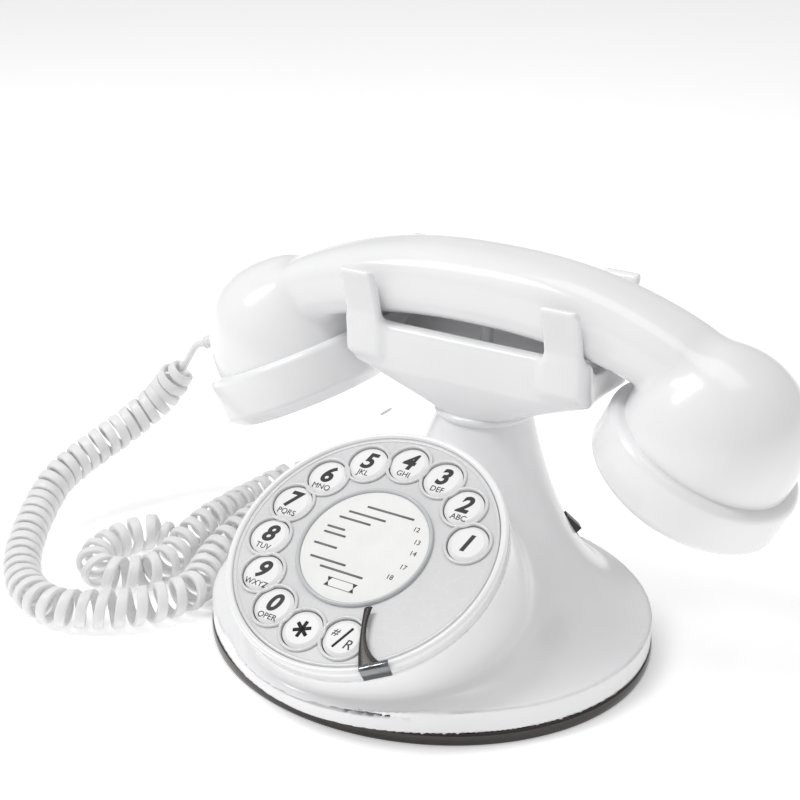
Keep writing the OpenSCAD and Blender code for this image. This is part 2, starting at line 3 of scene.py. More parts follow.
import json
import logging
import math
from collections.abc import Callable
from dataclasses import dataclass, field
from enum import Enum

import bpy
import numpy as np
from mathutils import Matrix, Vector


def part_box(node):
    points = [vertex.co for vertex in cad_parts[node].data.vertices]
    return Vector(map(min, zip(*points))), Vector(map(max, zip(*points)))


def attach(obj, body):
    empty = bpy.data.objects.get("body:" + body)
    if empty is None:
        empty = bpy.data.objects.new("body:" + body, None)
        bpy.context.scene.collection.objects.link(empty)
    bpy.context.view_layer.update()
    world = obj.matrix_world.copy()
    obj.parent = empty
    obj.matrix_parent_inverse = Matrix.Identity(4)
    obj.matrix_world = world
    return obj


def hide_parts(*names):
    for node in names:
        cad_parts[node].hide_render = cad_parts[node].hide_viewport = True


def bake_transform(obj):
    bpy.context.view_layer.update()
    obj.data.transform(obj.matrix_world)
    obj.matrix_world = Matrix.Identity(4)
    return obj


LOG = logging.getLogger("telephone")
MM = 0.001
Field = Callable[[np.ndarray], np.ndarray]


# ---------------------------------------------------------------- small maths


def soft_min(a: np.ndarray, b: np.ndarray, blend: float) -> np.ndarray:
    """Smaller of two fields, rounded where they meet: min minus a quadratic bump of width blend.

    Args:
        a: First field, in mm.
        b: Second field, in mm.
        blend: Width of the rounding, in mm.
    Returns:
        The joined field.
    """
    share = np.maximum(blend - np.abs(a - b), 0) / blend
    return np.minimum(a, b) - share * share * blend / 4


def soft_max(a: np.ndarray, b: np.ndarray, blend: float) -> np.ndarray:
    """Larger of two fields, rounded where they meet."""
    return -soft_min(-a, -b, blend)


def box_field(p: np.ndarray, half: tuple[float, float, float], corner: float) -> np.ndarray:
    """Distance to a rounded box about the origin: length of the outside part plus the inside part, less the radius.

    Args:
        p: Points, in mm, shape (n, 3).
        half: Half sizes, in mm.
        corner: Edge radius, in mm.
    Returns:
        Signed distance, in mm.
    """
    q = np.abs(p) - (np.array(half) - corner)
    return np.linalg.norm(np.maximum(q, 0), axis=1) + np.minimum(q.max(axis=1), 0) - corner


def spline(points: np.ndarray, step: float) -> np.ndarray:
    """Catmull-Rom curve through the points, resampled to even arc length.

    Args:
        points: Route points, shape (n, 3).
        step: Wanted spacing, in the points' unit.
    Returns:
        Points on the curve, shape (m, 3).
    """
    p = np.vstack([2 * points[0] - points[1], points, 2 * points[-1] - points[-2]])
    t = np.linspace(0, 1, 24, endpoint=False)[None, :, None]
    a, b, c, d = (p[i : len(p) - 3 + i, None, :] for i in range(4))
    curve = 0.5 * (2 * b + (c - a) * t + (2 * a - 5 * b + 4 * c - d) * t**2 + (3 * b - a - 3 * c + d) * t**3)
    curve = np.vstack([curve.reshape(-1, 3), points[-1:]])
    length = np.concatenate([[0], np.cumsum(np.linalg.norm(np.diff(curve, axis=0), axis=1))])
    even = np.linspace(0, length[-1], max(2, int(round(length[-1] / step)) + 1))
    return np.stack([np.interp(even, length, curve[:, i]) for i in range(3)], axis=1)


def unit(v: np.ndarray) -> np.ndarray:
    """Vectors scaled to length one."""
    return v / np.maximum(np.linalg.norm(v, axis=-1, keepdims=True), 1e-12)


# ---------------------------------------------------------------- meshes


def new_object(name: str, points: np.ndarray, faces: np.ndarray, smooth: bool = True) -> bpy.types.Object:
    """Puts a numpy mesh into the scene, its place in its vertices.

    Args:
        name: Piece name.
        points: Vertices in metres, shape (n, 3).
        faces: Vertex numbers, shape (m, 3) or (m, 4).
        smooth: Whether the faces are shaded smooth.
    Returns:
        The new object, at the origin.
    """
    mesh = bpy.data.meshes.new(name)
    mesh.vertices.add(len(points))
    mesh.vertices.foreach_set("co", np.asarray(points, np.float32).ravel())
    sides = faces.shape[1]
    mesh.loops.add(faces.size)
    mesh.loops.foreach_set("vertex_index", np.asarray(faces, np.int32).ravel())
    mesh.polygons.add(len(faces))
    mesh.polygons.foreach_set("loop_start", np.arange(0, faces.size, sides, dtype=np.int32))
    mesh.polygons.foreach_set("use_smooth", np.full(len(faces), smooth))
    mesh.update(calc_edges=True)
    mesh.validate()
    thing = bpy.data.objects.new(name, mesh)
    bpy.context.scene.collection.objects.link(thing)
    return thing


def grid_faces(rows: int, cols: int, wrap_rows: bool, wrap_cols: bool) -> np.ndarray:
    """Quads over a grid of rows by cols points, joined round where asked."""
    i = np.arange(rows if wrap_rows else rows - 1)[:, None]
    j = np.arange(cols if wrap_cols else cols - 1)[None, :]
    up, on = (i + 1) % rows, (j + 1) % cols
    return np.stack([i * cols + j, i * cols + on, up * cols + on, up * cols + j], axis=-1).reshape(-1, 4)


def closed_tube(name: str, rings: np.ndarray) -> bpy.types.Object:
    """Skin over rings of points, closed at both ends by a centre point.

    Args:
        name: Piece name.
        rings: Points in metres, shape (rings, sides, 3); a ring runs anticlockwise seen from the last ring.
    Returns:
        The closed tube.
    """
    count, sides = rings.shape[:2]
    points = np.vstack([rings.reshape(-1, 3), rings[0].mean(axis=0), rings[-1].mean(axis=0)])
    quads = grid_faces(count, sides, False, True)
    j = np.arange(sides)
    on, last = (j + 1) % sides, (count - 1) * sides
    start = np.stack([on, j, np.full(sides, count * sides), on], axis=1)[:, :3]
    end = np.stack([last + j, last + on, np.full(sides, count * sides + 1)], axis=1)
    tris = np.vstack([quads[:, [0, 1, 2]], quads[:, [0, 2, 3]], start, end])
    return new_object(name, points, tris)


@dataclass(frozen=True)
class Seat:
    """A place to build at: an origin and three axes, in mm."""

    origin: np.ndarray
    axes: np.ndarray

    def out(self, local: np.ndarray) -> np.ndarray:
        """Local points, in mm, to the frame, in metres."""
        return (self.origin + local @ self.axes) * MM

    def local(self, p: np.ndarray) -> np.ndarray:
        """Frame points, in mm, to local ones, in mm."""
        return (p - self.origin) @ self.axes.T


def lathe(name: str, seat: Seat, profile: np.ndarray, oval: float = 1.0, sides: int = 128) -> bpy.types.Object:
    """Profile of (radius, height) turned about the seat's third axis: x = r cos a, y = oval r sin a, z = h.

    Args:
        name: Piece name.
        seat: Where it stands.
        profile: Points (r, h) in mm, running round the section with the outside on the right.
        oval: Depth over width.
        sides: Points in a ring.
    Returns:
        A closed ring or solid of revolution.
    """
    a = np.linspace(0, 2 * np.pi, sides, endpoint=False)
    r, h = profile[:, :1], profile[:, 1:]
    local = np.stack([r * np.cos(a), oval * r * np.sin(a), h + 0 * a], axis=-1)
    points = seat.out(local.reshape(-1, 3))
    closed = bool(np.all(profile[:, 0] > 1e-6))
    if closed:
        quads = grid_faces(len(profile), sides, True, True)
        return new_object(name, points, quads)
    return closed_tube(name, points.reshape(len(profile), sides, 3))


def rounded(corners: list[tuple[float, float, float]], closed: bool, steps: int = 5) -> np.ndarray:
    """Outline with its corners rounded: each corner (x, y, radius) becomes a quadratic bend.

    Args:
        corners: Corner points with the length that the bend takes of each side.
        closed: Whether the outline joins up.
        steps: Points in a bend.
    Returns:
        The outline, shape (n, 2).
    """
    out = []
    count = len(corners)
    for i, (x, y, cut) in enumerate(corners):
        here = np.array([x, y])
        if cut <= 0 or (not closed and i in (0, count - 1)):
            out.append(here[None, :])
            continue
        before, after = np.array(corners[i - 1][:2]), np.array(corners[(i + 1) % count][:2])
        a, b = here + unit(before - here) * cut, here + unit(after - here) * cut
        t = np.linspace(0, 1, steps)[:, None]
        out.append((1 - t) ** 2 * a + 2 * t * (1 - t) * here + t**2 * b)
    return np.vstack(out)


def level_surface(shape: Field, low: list[float], high: list[float], step: float) -> tuple[np.ndarray, np.ndarray]:
    """Mesh of where a field is zero: one vertex in each grid cell that the surface crosses, moved onto it.

    The vertex starts at the mean of the crossings on the cell's edges, then takes Newton steps along the gradient.

    Args:
        shape: Field in mm, below zero inside.
        low: Lowest corner of the grid, in mm.
        high: Highest corner of the grid, in mm.
        step: Cell size, in mm.
    Returns:
        Vertices in metres and quads that face outwards.
    """
    axes = [np.arange(lo, hi + step, step) for lo, hi in zip(low, high)]
    size = tuple(len(a) for a in axes)
    nodes = np.stack(np.meshgrid(*axes, indexing="ij"), axis=-1).reshape(-1, 3)
    value = shape(nodes).reshape(size)
    inside = value < 0
    cells = tuple(n - 1 for n in size)
    total, hits = np.zeros(cells + (3,)), np.zeros(cells)
    for axis in range(3):
        a, b = [slice(None)] * 3, [slice(None)] * 3
        a[axis], b[axis] = slice(0, -1), slice(1, None)
        fa, fb = value[tuple(a)], value[tuple(b)]
        cut = (fa < 0) != (fb < 0)
        t = np.where(cut, fa / np.where(cut, fa - fb, 1), 0)
        others = [k for k in range(3) if k != axis]
        for da in (0, 1):
            for db in (0, 1):
                pick = [slice(None)] * 3
                pick[others[0]] = slice(da, cells[others[0]] + da)
                pick[others[1]] = slice(db, cells[others[1]] + db)
                here = cut[tuple(pick)]
                hits += here
                total[..., axis] += np.where(here, t[tuple(pick)], 0)
                total[..., others[0]] += here * da
                total[..., others[1]] += here * db
    live = hits > 0
    number = np.full(cells, -1)
    number[live] = np.arange(live.sum())
    start = np.stack([axes[k][np.nonzero(live)[k]] for k in range(3)], axis=1)
    points = start + step * total[live] / hits[live][:, None]
    home, eps = points.copy(), 0.05
    for _ in range(5):
        slope = np.stack([(shape(points + e) - shape(points - e)) / (2 * eps) for e in np.eye(3) * eps], axis=1)
        move = shape(points)[:, None] * slope / np.maximum((slope**2).sum(axis=1, keepdims=True), 0.05)
        points = home + np.clip(points - 0.8 * move - home, -0.6 * step, 0.6 * step)
    faces = []
    for axis in range(3):
        turn = (axis, (axis + 1) % 3, (axis + 2) % 3)
        solid, index = inside.transpose(turn), number.transpose(turn)
        low_in, high_in = solid[:-1, 1:-1, 1:-1], solid[1:, 1:-1, 1:-1]
        ring = np.stack([index[:, :-1, :-1], index[:, 1:, :-1], index[:, 1:, 1:], index[:, :-1, 1:]], axis=-1)
        faces.append(ring[low_in & ~high_in])
        faces.append(ring[~low_in & high_in][:, ::-1])
    return points * MM, np.vstack(faces)


# ---------------------------------------------------------------- finishes


def linear(code: str) -> tuple[float, float, float, float]:
    """An sRGB hex colour as linear values with alpha one."""
    parts = [int(code[i : i + 2], 16) / 255 for i in (1, 3, 5)]
    return tuple(c / 12.92 if c <= 0.04045 else ((c + 0.055) / 1.055) ** 2.4 for c in parts) + (1.0,)


def add_node(tree: bpy.types.NodeTree, kind: str, settings: dict | None = None, links: dict | None = None) -> bpy.types.Node:
    """Adds a node to a tree.

    Args:
        tree: The node tree.
        kind: Node type.
        settings: Properties by name, or socket values by socket name.
        links: Socket name to the output that feeds it.
    Returns:
        The node.
    """
    node = tree.nodes.new(kind)
    for key, value in (settings or {}).items():
        if hasattr(node, key):
            setattr(node, key, value)
        else:
            node.inputs[key].default_value = value
    for key, source in (links or {}).items():
        tree.links.new(source, node.inputs[key])
    return node


@dataclass(frozen=True)
class Finish:
    """A finish: its colour, shine and surface grain, worked out from sizes in mm."""

    name: str
    hex: str
    dark_hex: str
    roughness: float = 0.3
    metallic: float = 0.0
    ior: float = 1.5
    coat: float = 0.0
    patch_mm: float = 30.0
    grain_mm: float = 0.6
    grain_depth_mm: float = 0.01
    rough_spread: float = 0.06
    transmission: float = 0.0
    sheen: float = 0.0
    glow: float = 0.0
    stretch: tuple[float, float, float] = (1.0, 1.0, 1.0)

    def build(self) -> bpy.types.Material:
        """Makes the material: slow colour patches, a fine grain in bump, and both in the roughness."""
        material = bpy.data.materials.new(self.name)
        material.use_nodes = True
        tree = material.node_tree
        tree.nodes.clear()
        where = add_node(tree, "ShaderNodeTexCoord")
        laid = add_node(tree, "ShaderNodeMapping", {"Scale": self.stretch}, {"Vector": where.outputs["Object"]})
        patch = add_node(
            tree, "ShaderNodeTexNoise", {"Scale": 1 / (self.patch_mm * MM), "Detail": 3.0}, {"Vector": laid.outputs[0]}
        )
        grain = add_node(
            tree, "ShaderNodeTexNoise", {"Scale": 1 / (self.grain_mm * MM), "Detail": 2.0}, {"Vector": laid.outputs[0]}
        )
        ramp = add_node(tree, "ShaderNodeValToRGB", {}, {"Fac": patch.outputs["Fac"]})
        ramp.color_ramp.elements[0].position, ramp.color_ramp.elements[1].position = 0.3, 0.7
        ramp.color_ramp.elements[0].color, ramp.color_ramp.elements[1].color = linear(self.dark_hex), linear(self.hex)
        both = add_node(
            tree, "ShaderNodeMath", {"operation": "ADD"}, {0: patch.outputs["Fac"], 1: grain.outputs["Fac"]}
        )
        rough = add_node(
            tree,
            "ShaderNodeMapRange",
            {
                "From Min": 0.6,
                "From Max": 1.4,
                "To Min": max(0.02, self.roughness - self.rough_spread),
                "To Max": self.roughness + self.rough_spread,
            },
            {"Value": both.outputs[0]},
        )
        bump = add_node(
            tree,
            "ShaderNodeBump",
            {"Strength": 0.6, "Distance": self.grain_depth_mm * MM},
            {"Height": grain.outputs["Fac"]},
        )
        settings = {
            "Metallic": self.metallic,
            "Coat Weight": self.coat,
            "Coat Roughness": 0.08,
            "Transmission Weight": self.transmission,
            "Sheen Weight": self.sheen,
            "Emission Strength": self.glow,
            "Emission Color": (1.0, 1.0, 1.0, 1.0),
        }
        if self.metallic < 0.5:
            settings["IOR"] = self.ior
        shader = add_node(
            tree,
            "ShaderNodeBsdfPrincipled",
            settings,
            {"Base Color": ramp.outputs["Color"], "Roughness": rough.outputs[0], "Normal": bump.outputs[0]},
        )
        add_node(tree, "ShaderNodeOutputMaterial", {}, {"Surface": shader.outputs[0]})
        return material


class Finishes(Enum):
    """Every finish on the telephone, named for the real material, save the dark chrome, which carries a painted dark
    reflection.
    """

    # High-gloss injection-moulded ABS: clean near-white with a soft mirror of the room.
    WHITE_ABS = Finish("white_gloss_abs", "#F6F6F7", "#F2F2F3", 0.20, coat=0.25, grain_mm=1.2, grain_depth_mm=0.004)
    # The same ABS from a less polished tool: the dial's plate and keys.
    SATIN_ABS = Finish("white_satin_abs", "#F2F2F2", "#EDEDED", 0.34, grain_mm=0.5, grain_depth_mm=0.01)
    # Polished dark brown ABS of the foot ring; the ring also fills the shadow gap under the cover's rim, so its dark
    # is partly real colour and partly painted shade.
    BROWN_ABS = Finish("dark_brown_abs", "#2A1C18", "#1D1310", 0.18, coat=0.3, grain_mm=1.0, grain_depth_mm=0.004)
    # Clear moulded acrylic over white: reads as a cool pale grey with bright edges.
    CLEAR_ACRYLIC = Finish("clear_acrylic_wheel", "#DDDDDE", "#D6D6D7", 0.26, ior=1.49, coat=0.4, grain_mm=2.0, grain_depth_mm=0.003)
    # Edge of the acrylic, where light leaves: darker.
    ACRYLIC_EDGE = Finish("acrylic_edge", "#CBCDCF", "#C0C2C4", 0.2, ior=1.49, grain_mm=2.0, grain_depth_mm=0.003)
    # Chromed steel strip.
    CHROME = Finish("chromed_steel", "#8E9093", "#7C7E81", 0.16, metallic=1.0, grain_mm=0.8, grain_depth_mm=0.003)
    # Darker copy of the chromed steel, on the stop's blade: painted dark reflection.
    DARK_CHROME = Finish("chrome_painted_dark_reflection", "#4A4847", "#3A3837", 0.24, metallic=0.7, grain_mm=0.8, grain_depth_mm=0.004)
    # Coated card.
    CARD = Finish("coated_card", "#F2F2F1", "#ECECEB", 0.55, patch_mm=8, grain_mm=0.25, grain_depth_mm=0.008)
    # Printing ink: matt black.
    INK = Finish("black_ink", "#1C1B1B", "#141313", 0.5, grain_mm=0.3, grain_depth_mm=0.002)
    # Grey printing ink.
    GREY_INK = Finish("grey_ink", "#77777A", "#6C6C70", 0.5, grain_mm=0.3, grain_depth_mm=0.002)
    # Extruded cord jacket: satin, drawn lengthwise.
    JACKET = Finish("cord_jacket", "#EFEFEF", "#E8E8E8", 0.38, patch_mm=12, grain_mm=0.35, grain_depth_mm=0.02)
    # Rubber pads.
    RUBBER = Finish("black_rubber", "#242424", "#1C1C1C", 0.7, grain_mm=0.4, grain_depth_mm=0.03)
    # Zinc-plated steel.
    STEEL = Finish("zinc_plated_steel", "#B9BBBE", "#A5A7AA", 0.34, metallic=1.0, stretch=(1, 1, 6), grain_mm=0.4)
    # Raw cast iron.
    IRON = Finish("cast_iron", "#4B4B4D", "#3C3C3E", 0.7, metallic=0.6, grain_mm=0.8, grain_depth_mm=0.05)
    # Green circuit-board laminate.
    BOARD = Finish("green_laminate", "#1F6B3A", "#17552D", 0.45, patch_mm=10, grain_mm=0.3)
    # Spun brass.
    BRASS = Finish("spun_brass", "#C9A45A", "#B08C46", 0.25, metallic=1.0, grain_mm=0.5)
    # Enamelled copper wire.
    COPPER = Finish("enamelled_copper", "#8A4A24", "#6F3718", 0.3, metallic=0.6, stretch=(8, 1, 1), grain_mm=0.5)
    # Moulded dark grey ABS; on the caps it is also the painted shade of the sound holes.
    GREY_ABS = Finish("dark_grey_abs", "#3E3E40", "#333335", 0.4, grain_mm=0.4, grain_depth_mm=0.015)
    # Grey silicone mat.
    SILICONE = Finish("grey_silicone", "#B5B5B5", "#A6A6A6", 0.6, grain_mm=0.5)
    # Clear polycarbonate plug.
    CLEAR_PLUG = Finish("clear_polycarbonate", "#E9EDEF", "#DDE2E5", 0.1, ior=1.58, transmission=0.7, grain_mm=2.0)
    # Pale seamless paper.
    FLOOR = Finish("pale_paper_floor", "#FFFFFF", "#FDFDFD", 0.8, glow=0.3, patch_mm=300, grain_mm=2.0, grain_depth_mm=0.004)


SLOT_FINISH = {
    "base_ring": Finishes.BROWN_ABS,
    "foot_rubber": Finishes.RUBBER,
    "screw_steel": Finishes.STEEL,
    "ballast_iron": Finishes.IRON,
    "ivory_shell": Finishes.WHITE_ABS,
    "ivory_handset": Finishes.WHITE_ABS,
    "dial_white": Finishes.SATIN_ABS,
    "clear_wheel": Finishes.CLEAR_ACRYLIC,
    "clear_ring": Finishes.ACRYLIC_EDGE,
    "chrome_stop": Finishes.CHROME,
    "card_paper": Finishes.CARD,
    "membrane_rubber": Finishes.SILICONE,
    "board_green": Finishes.BOARD,
    "plunger_white": Finishes.SATIN_ABS,
    "spring_steel": Finishes.STEEL,
    "dark_plastic": Finishes.GREY_ABS,
    "bracket_steel": Finishes.STEEL,
    "gong_brass": Finishes.BRASS,
    "coil_copper": Finishes.COPPER,
    "grey_knob": Finishes.GREY_ABS,
    "capsule_metal": Finishes.STEEL,
    "cord_white": Finishes.JACKET,
    "clear_plug": Finishes.CLEAR_PLUG,
    "key_white": Finishes.SATIN_ABS,
}


class Paint:
    """Makes each finish once and gives it to pieces."""

    def __init__(self) -> None:
        """Starts with nothing made."""
        self.made: dict[Finishes, bpy.types.Material] = {}

    def of(self, finish: Finishes) -> bpy.types.Material:
        """The material of a finish."""
        if finish not in self.made:
            self.made[finish] = finish.value.build()
        return self.made[finish]

    def dress(self, thing: bpy.types.Object, *finishes: Finishes) -> None:
        """Gives a piece its finishes, in slot order."""
        thing.data.materials.clear()
        for finish in finishes:
            thing.data.materials.append(self.of(finish))


@dataclass
class Placing:
    """What every sub-assembly needs: the paint and the way to hand a piece to its body."""

    paint: Paint

    def put(
        self,
        thing: bpy.types.Object,
        body: str | None,
        slot: str,
        finish: Finishes | None = None,
        replaces: tuple[str, ...] = (),
    ) -> bpy.types.Object:
        """Dresses a piece, rides it on a body, if one is given, and hides the nodes it stands for."""
        self.paint.dress(thing, finish or SLOT_FINISH[slot])
        if body:
            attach(thing, body)
        if replaces:
            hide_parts(*replaces)
        LOG.info("%s: %d faces", thing.name, len(thing.data.polygons))
        return thing


# ---------------------------------------------------------------- the dial's seat


DIAL_TILT = math.radians(29.4)
DIAL = Seat(
    np.array([0, -38.0, 45.2]),
    np.array(
        [[1, 0, 0], [0, math.cos(DIAL_TILT), math.sin(DIAL_TILT)], [0, -math.sin(DIAL_TILT), math.cos(DIAL_TILT)]]
    ),
)
NECK_Y = 34.8


# ---------------------------------------------------------------- base


@dataclass
class BaseShell:
    """The one-piece cover: an oval flare up to the neck, grown together with the dial's drum."""

    place: Placing
    width: float = 149.0
    depth: float = 136.0
    inset: float = 0.6
    rim_h: float = 12.0
    foot_z: float = 4.0
    neck_z: float = 67.0
    neck_r: float = 15.8
    power: float = 0.24
    sharpness: float = 0.55
    roof: float = 1.8
    wall: float = 2.4
    drum_r: float = 44.3
    pocket_r: float = 44.75
    pocket_floor: float = -3.2
    lip_h: float = 1.5
    blend: float = 13.0
    step: float = 1.1

    def share(self, z: np.ndarray) -> np.ndarray:
        """Share of the spread at a height: ((1 + cos(pi t^power)) / 2)^sharpness, t from rim to neck."""
        t = np.clip((z - self.rim_h) / (self.neck_z - self.rim_h), 0, 1)
        return ((1 + np.cos(np.pi * t**self.power)) / 2) ** self.sharpness

    def flare(self, p: np.ndarray, inset: float = 0.0) -> np.ndarray:
        """Distance to the flare: how far outside its ellipse at that height, over the wall's slope."""
        z = np.clip(p[:, 2], 0, self.neck_z)
        share = self.share(z)
        wide = self.neck_r + (self.width / 2 - self.inset - self.neck_r) * share
        deep = self.neck_r + (self.depth / 2 - self.inset - self.neck_r) * share
        y = p[:, 1] - NECK_Y * (1 - share)
        q = np.sqrt((p[:, 0] / wide) ** 2 + (y / deep) ** 2)
        rise = (self.share(z + 0.5) - self.share(z - 0.5)) * (self.width / 2 - self.neck_r)
        return ((q - 1) * np.minimum(wide, deep) + inset) / np.sqrt(1 + rise**2)

    def outer(self, p: np.ndarray) -> np.ndarray:
        """The cover's outside: flare and drum softly joined, cut off by the dial's face and the neck's top."""
        d = DIAL.local(p)
        drum = np.hypot(d[:, 0], d[:, 1]) - self.drum_r
        drum = soft_max(drum, -60 - d[:, 2], 1)
        body = soft_min(self.flare(p), drum, self.blend)
        oval = np.sqrt((p[:, 0] / (self.width / 2 - self.inset)) ** 2 + (p[:, 1] / (self.depth / 2 - self.inset)) ** 2)
        low = (oval - 1) * self.depth / 2
        under = np.clip((self.rim_h - p[:, 2]) / 4, 0, 1)
        reach = np.minimum(body, np.where(p[:, 2] < self.rim_h, low, np.inf))
        body = np.where(p[:, 2] < self.rim_h, under * reach + (1 - under) * body, body)
        body = soft_max(body, d[:, 2] - self.lip_h, 1.6)
        return soft_max(body, p[:, 2] - self.neck_z, 0.8)

    def shape(self, p: np.ndarray) -> np.ndarray:
        """The cover with its hollow, the dial's pocket, and the sockets' and switch's openings."""
        outer = self.outer(p)
        d = DIAL.local(p)
        drum = np.hypot(d[:, 0], d[:, 1]) - self.drum_r + self.wall
        hollow = soft_min(self.flare(p + np.array([0, 0, self.roof]), self.wall), drum, self.blend)
        hollow = soft_max(soft_max(hollow, p[:, 2] - self.neck_z + 3, 0.5), d[:, 2] + 1, 0.5)
        body = soft_max(outer, -hollow, 0.3)
        pocket = np.maximum(np.hypot(d[:, 0], d[:, 1]) - self.pocket_r, self.pocket_floor - d[:, 2])
        body = soft_max(body, -pocket, 0.4)
        hole = np.hypot(p[:, 0], p[:, 1] - NECK_Y) - 7.2
        body = np.maximum(body, -np.maximum(hole, self.neck_z - 6 - p[:, 2]))
        for seat in (rim_seat(90), rim_seat(112)):
            q = seat.local(p) - np.array([0, 0, 8])
            body = soft_max(body, -box_field(q, (9, 7.15, 4.15), 0.2), 0.3)
        q = switch_seat().local(p)
        body = soft_max(body, -box_field(q, (5.9, 2.4, 7), 0.3), 0.3)
        return np.maximum(body, self.foot_z - p[:, 2])

    def build(self) -> None:
        """Meshes the cover and hands it to the base."""
        half_w, half_d = self.width / 2 + 2, self.depth / 2 + 2
        points, faces = level_surface(
            self.shape, [-half_w, -88, self.foot_z - 1.3], [half_w, half_d, self.neck_z + 3], self.step
        )
        cover = new_object("shell_cover", points, faces)
        self.place.put(cover, "base", "ivory_shell", replaces=("base_shell",))


def rim_seat(angle: float) -> Seat:
    """Seat on the cover's rear rim, 5 mm in, +X outwards."""
    a = math.radians(angle)
    spot = np.array([(149 / 2 - 5.6) * math.cos(a), (136 / 2 - 5.6) * math.sin(a), 0])
    turn = math.atan2(math.sin(a) * 149, math.cos(a) * 136)
    c, s = math.cos(turn), math.sin(turn)
    return Seat(spot, np.array([[c, s, 0], [-s, c, 0], [0, 0, 1]]))


def switch_seat() -> Seat:
    """Seat of the volume switch on the rear right slope, from its CAD box: +X down the slope, +Z out of it."""
    low, high = (np.array(v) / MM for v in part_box("volume_switch"))
    joint = next(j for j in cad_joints() if j["name"] == "volume_slide")
    along = unit(np.array(joint["axis"], float))
    across = unit(np.cross([0, 0, 1], along))
    return Seat((low + high) / 2, np.array([along, across, np.cross(along, across)]))


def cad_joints() -> list[dict]:
    """The record's joints."""
    return RECORD["behaviour"]["joints"]


@dataclass
class BaseRing:
    """The dark ring under the cover and the neck's bead."""

    place: Placing
    half_w: float = 74.5
    half_d: float = 68.0
    height: float = 4.0
    edge: float = 0.7

    def build(self) -> None:
        """Makes the ring as an oval lathe with rounded edges, and the bead as a round one."""
        ground = Seat(np.zeros(3), np.eye(3))
        w, h, e = self.half_w, self.height, self.edge
        # the ring runs from the floor up to the cover over the shadow gap under the rim: partly real dark plastic,
        # partly painted shade
        section = rounded([(0, 0, 0), (w - 0.3, 0, e), (w, h * 0.5, e), (w - 0.35, h, e), (0, h, 0)], False)
        ring = lathe("base_ring", ground, section, self.half_d / self.half_w, 192)
        self.place.put(ring, "base", "base_ring", replaces=("base_plate",))
        a = np.linspace(0, 2 * np.pi, 24, endpoint=False)
        bead = np.stack([15.8 + 1.4 * np.cos(a), 67 + 1.4 * np.sin(a)], axis=1)
        neck = Seat(np.array([0, NECK_Y, 0]), np.eye(3))
        self.place.put(lathe("neck_ring", neck, bead), "base", "ivory_shell", replaces=("neck_bead",))


# ---------------------------------------------------------------- cradle


@dataclass
class Cradle:
    """The boat on the neck with its four prongs, in one moulding."""

    place: Placing
    foot_z: float = 67.0
    foot_r: float = 15.0
    top: float = 95.5
    half_l: float = 48.0
    trough_r: float = 14.6
    trough_floor: float = 88.5
    half_d: float = 18.4
    prong_x: float = 36.8
    prong_w: float = 13.0
    prong_t: float = 3.4
    prong_top: float = 114.5
    prong_foot: float = 84.0
    prong_flare: float = 6.0
    step: float = 0.85

    def boat(self, p: np.ndarray) -> np.ndarray:
        """Superellipse sections that spread from the round foot to the long rim; the power grows from 2 to 5."""
        t = np.clip((p[:, 2] - self.foot_z) / 13.5, 0, 1)
        ease = t**1.15
        late = np.clip((p[:, 2] - 80) / 15, 0, 1)
        long = self.foot_r + (46.0 - self.foot_r) * ease + (self.half_l - 46.0) * late
        deep = self.foot_r + (self.half_d - self.foot_r) * t**0.8
        power = 2 + 3.2 * t
        q = (np.abs(p[:, 0] / long) ** power + np.abs(p[:, 1] / deep) ** power) ** (1 / power)
        slope = 1 + 0.9 * (t < 1) * np.abs(p[:, 0]) / long
        return (q - 1) * np.minimum(deep, 18) / slope

    def prongs(self, p: np.ndarray) -> np.ndarray:
        """Ribs that follow y = d + flare t^2 upwards, t from foot to tip, with rounded edges."""
        t = (p[:, 2] - 88) / (self.prong_top - 88)
        y = np.abs(p[:, 1]) - (self.half_d - self.prong_t / 2 + self.prong_flare * np.clip(t, 0, 1.2) ** 2)
        mid = (self.prong_top + self.prong_foot) / 2
        q = np.stack([np.abs(p[:, 0]) - self.prong_x, y, p[:, 2] - mid], axis=1)
        half = (self.prong_w / 2, self.prong_t / 2, (self.prong_top - self.prong_foot) / 2)
        return box_field(q, half, 1.5)

    def shape(self, p: np.ndarray) -> np.ndarray:
        """Boat with its trough and rim, joined to the prongs, less the plunger's hole."""
        q = p - np.array([0, NECK_Y, 0])
        body = soft_max(self.boat(q), q[:, 2] - self.top, 2.0)
        trough = self.trough_r - np.hypot(q[:, 1], q[:, 2] - self.trough_floor - self.trough_r)
        body = soft_max(body, trough, 1.6)
        saddle = box_field(np.stack([np.abs(q[:, 0]) - self.prong_x, q[:, 1], q[:, 2] - 90.9], axis=1), (2, 12.5, 3.4), 0.8)
        body = np.minimum(body, saddle)
        body = soft_min(body, self.prongs(q), 4.0)
        path = np.hypot((np.abs(q[:, 0]) - 72.14) / math.cos(DOME_LEAN), q[:, 1])
        body = soft_max(body, 33.1 - path, 1.4)
        body = soft_max(body, self.foot_z - q[:, 2], 0.4)
        return np.maximum(body, 2.5 - np.hypot(q[:, 0], q[:, 1]))

    def build(self) -> None:
        """Meshes the cradle."""
        low = [-self.half_l - 3, NECK_Y - 28, self.foot_z - 2]
        high = [self.half_l + 3, NECK_Y + 28, self.prong_top + 2]
        points, faces = level_surface(self.shape, low, high, self.step)
        self.place.put(new_object("cradle_boat", points, faces), "base", "ivory_shell", replaces=("cradle",))


# ---------------------------------------------------------------- handset


DOME_LEAN = math.radians(26)


def dome_seat(side: int) -> Seat:
    """Seat on a dome's seam, +Z up through the dome."""
    c, s = math.cos(DOME_LEAN), side * math.sin(DOME_LEAN)
    return Seat(np.array([side * 78.8, NECK_Y, 71.8]), np.array([[c, 0, -s], [0, 1, 0], [s, 0, c]]))


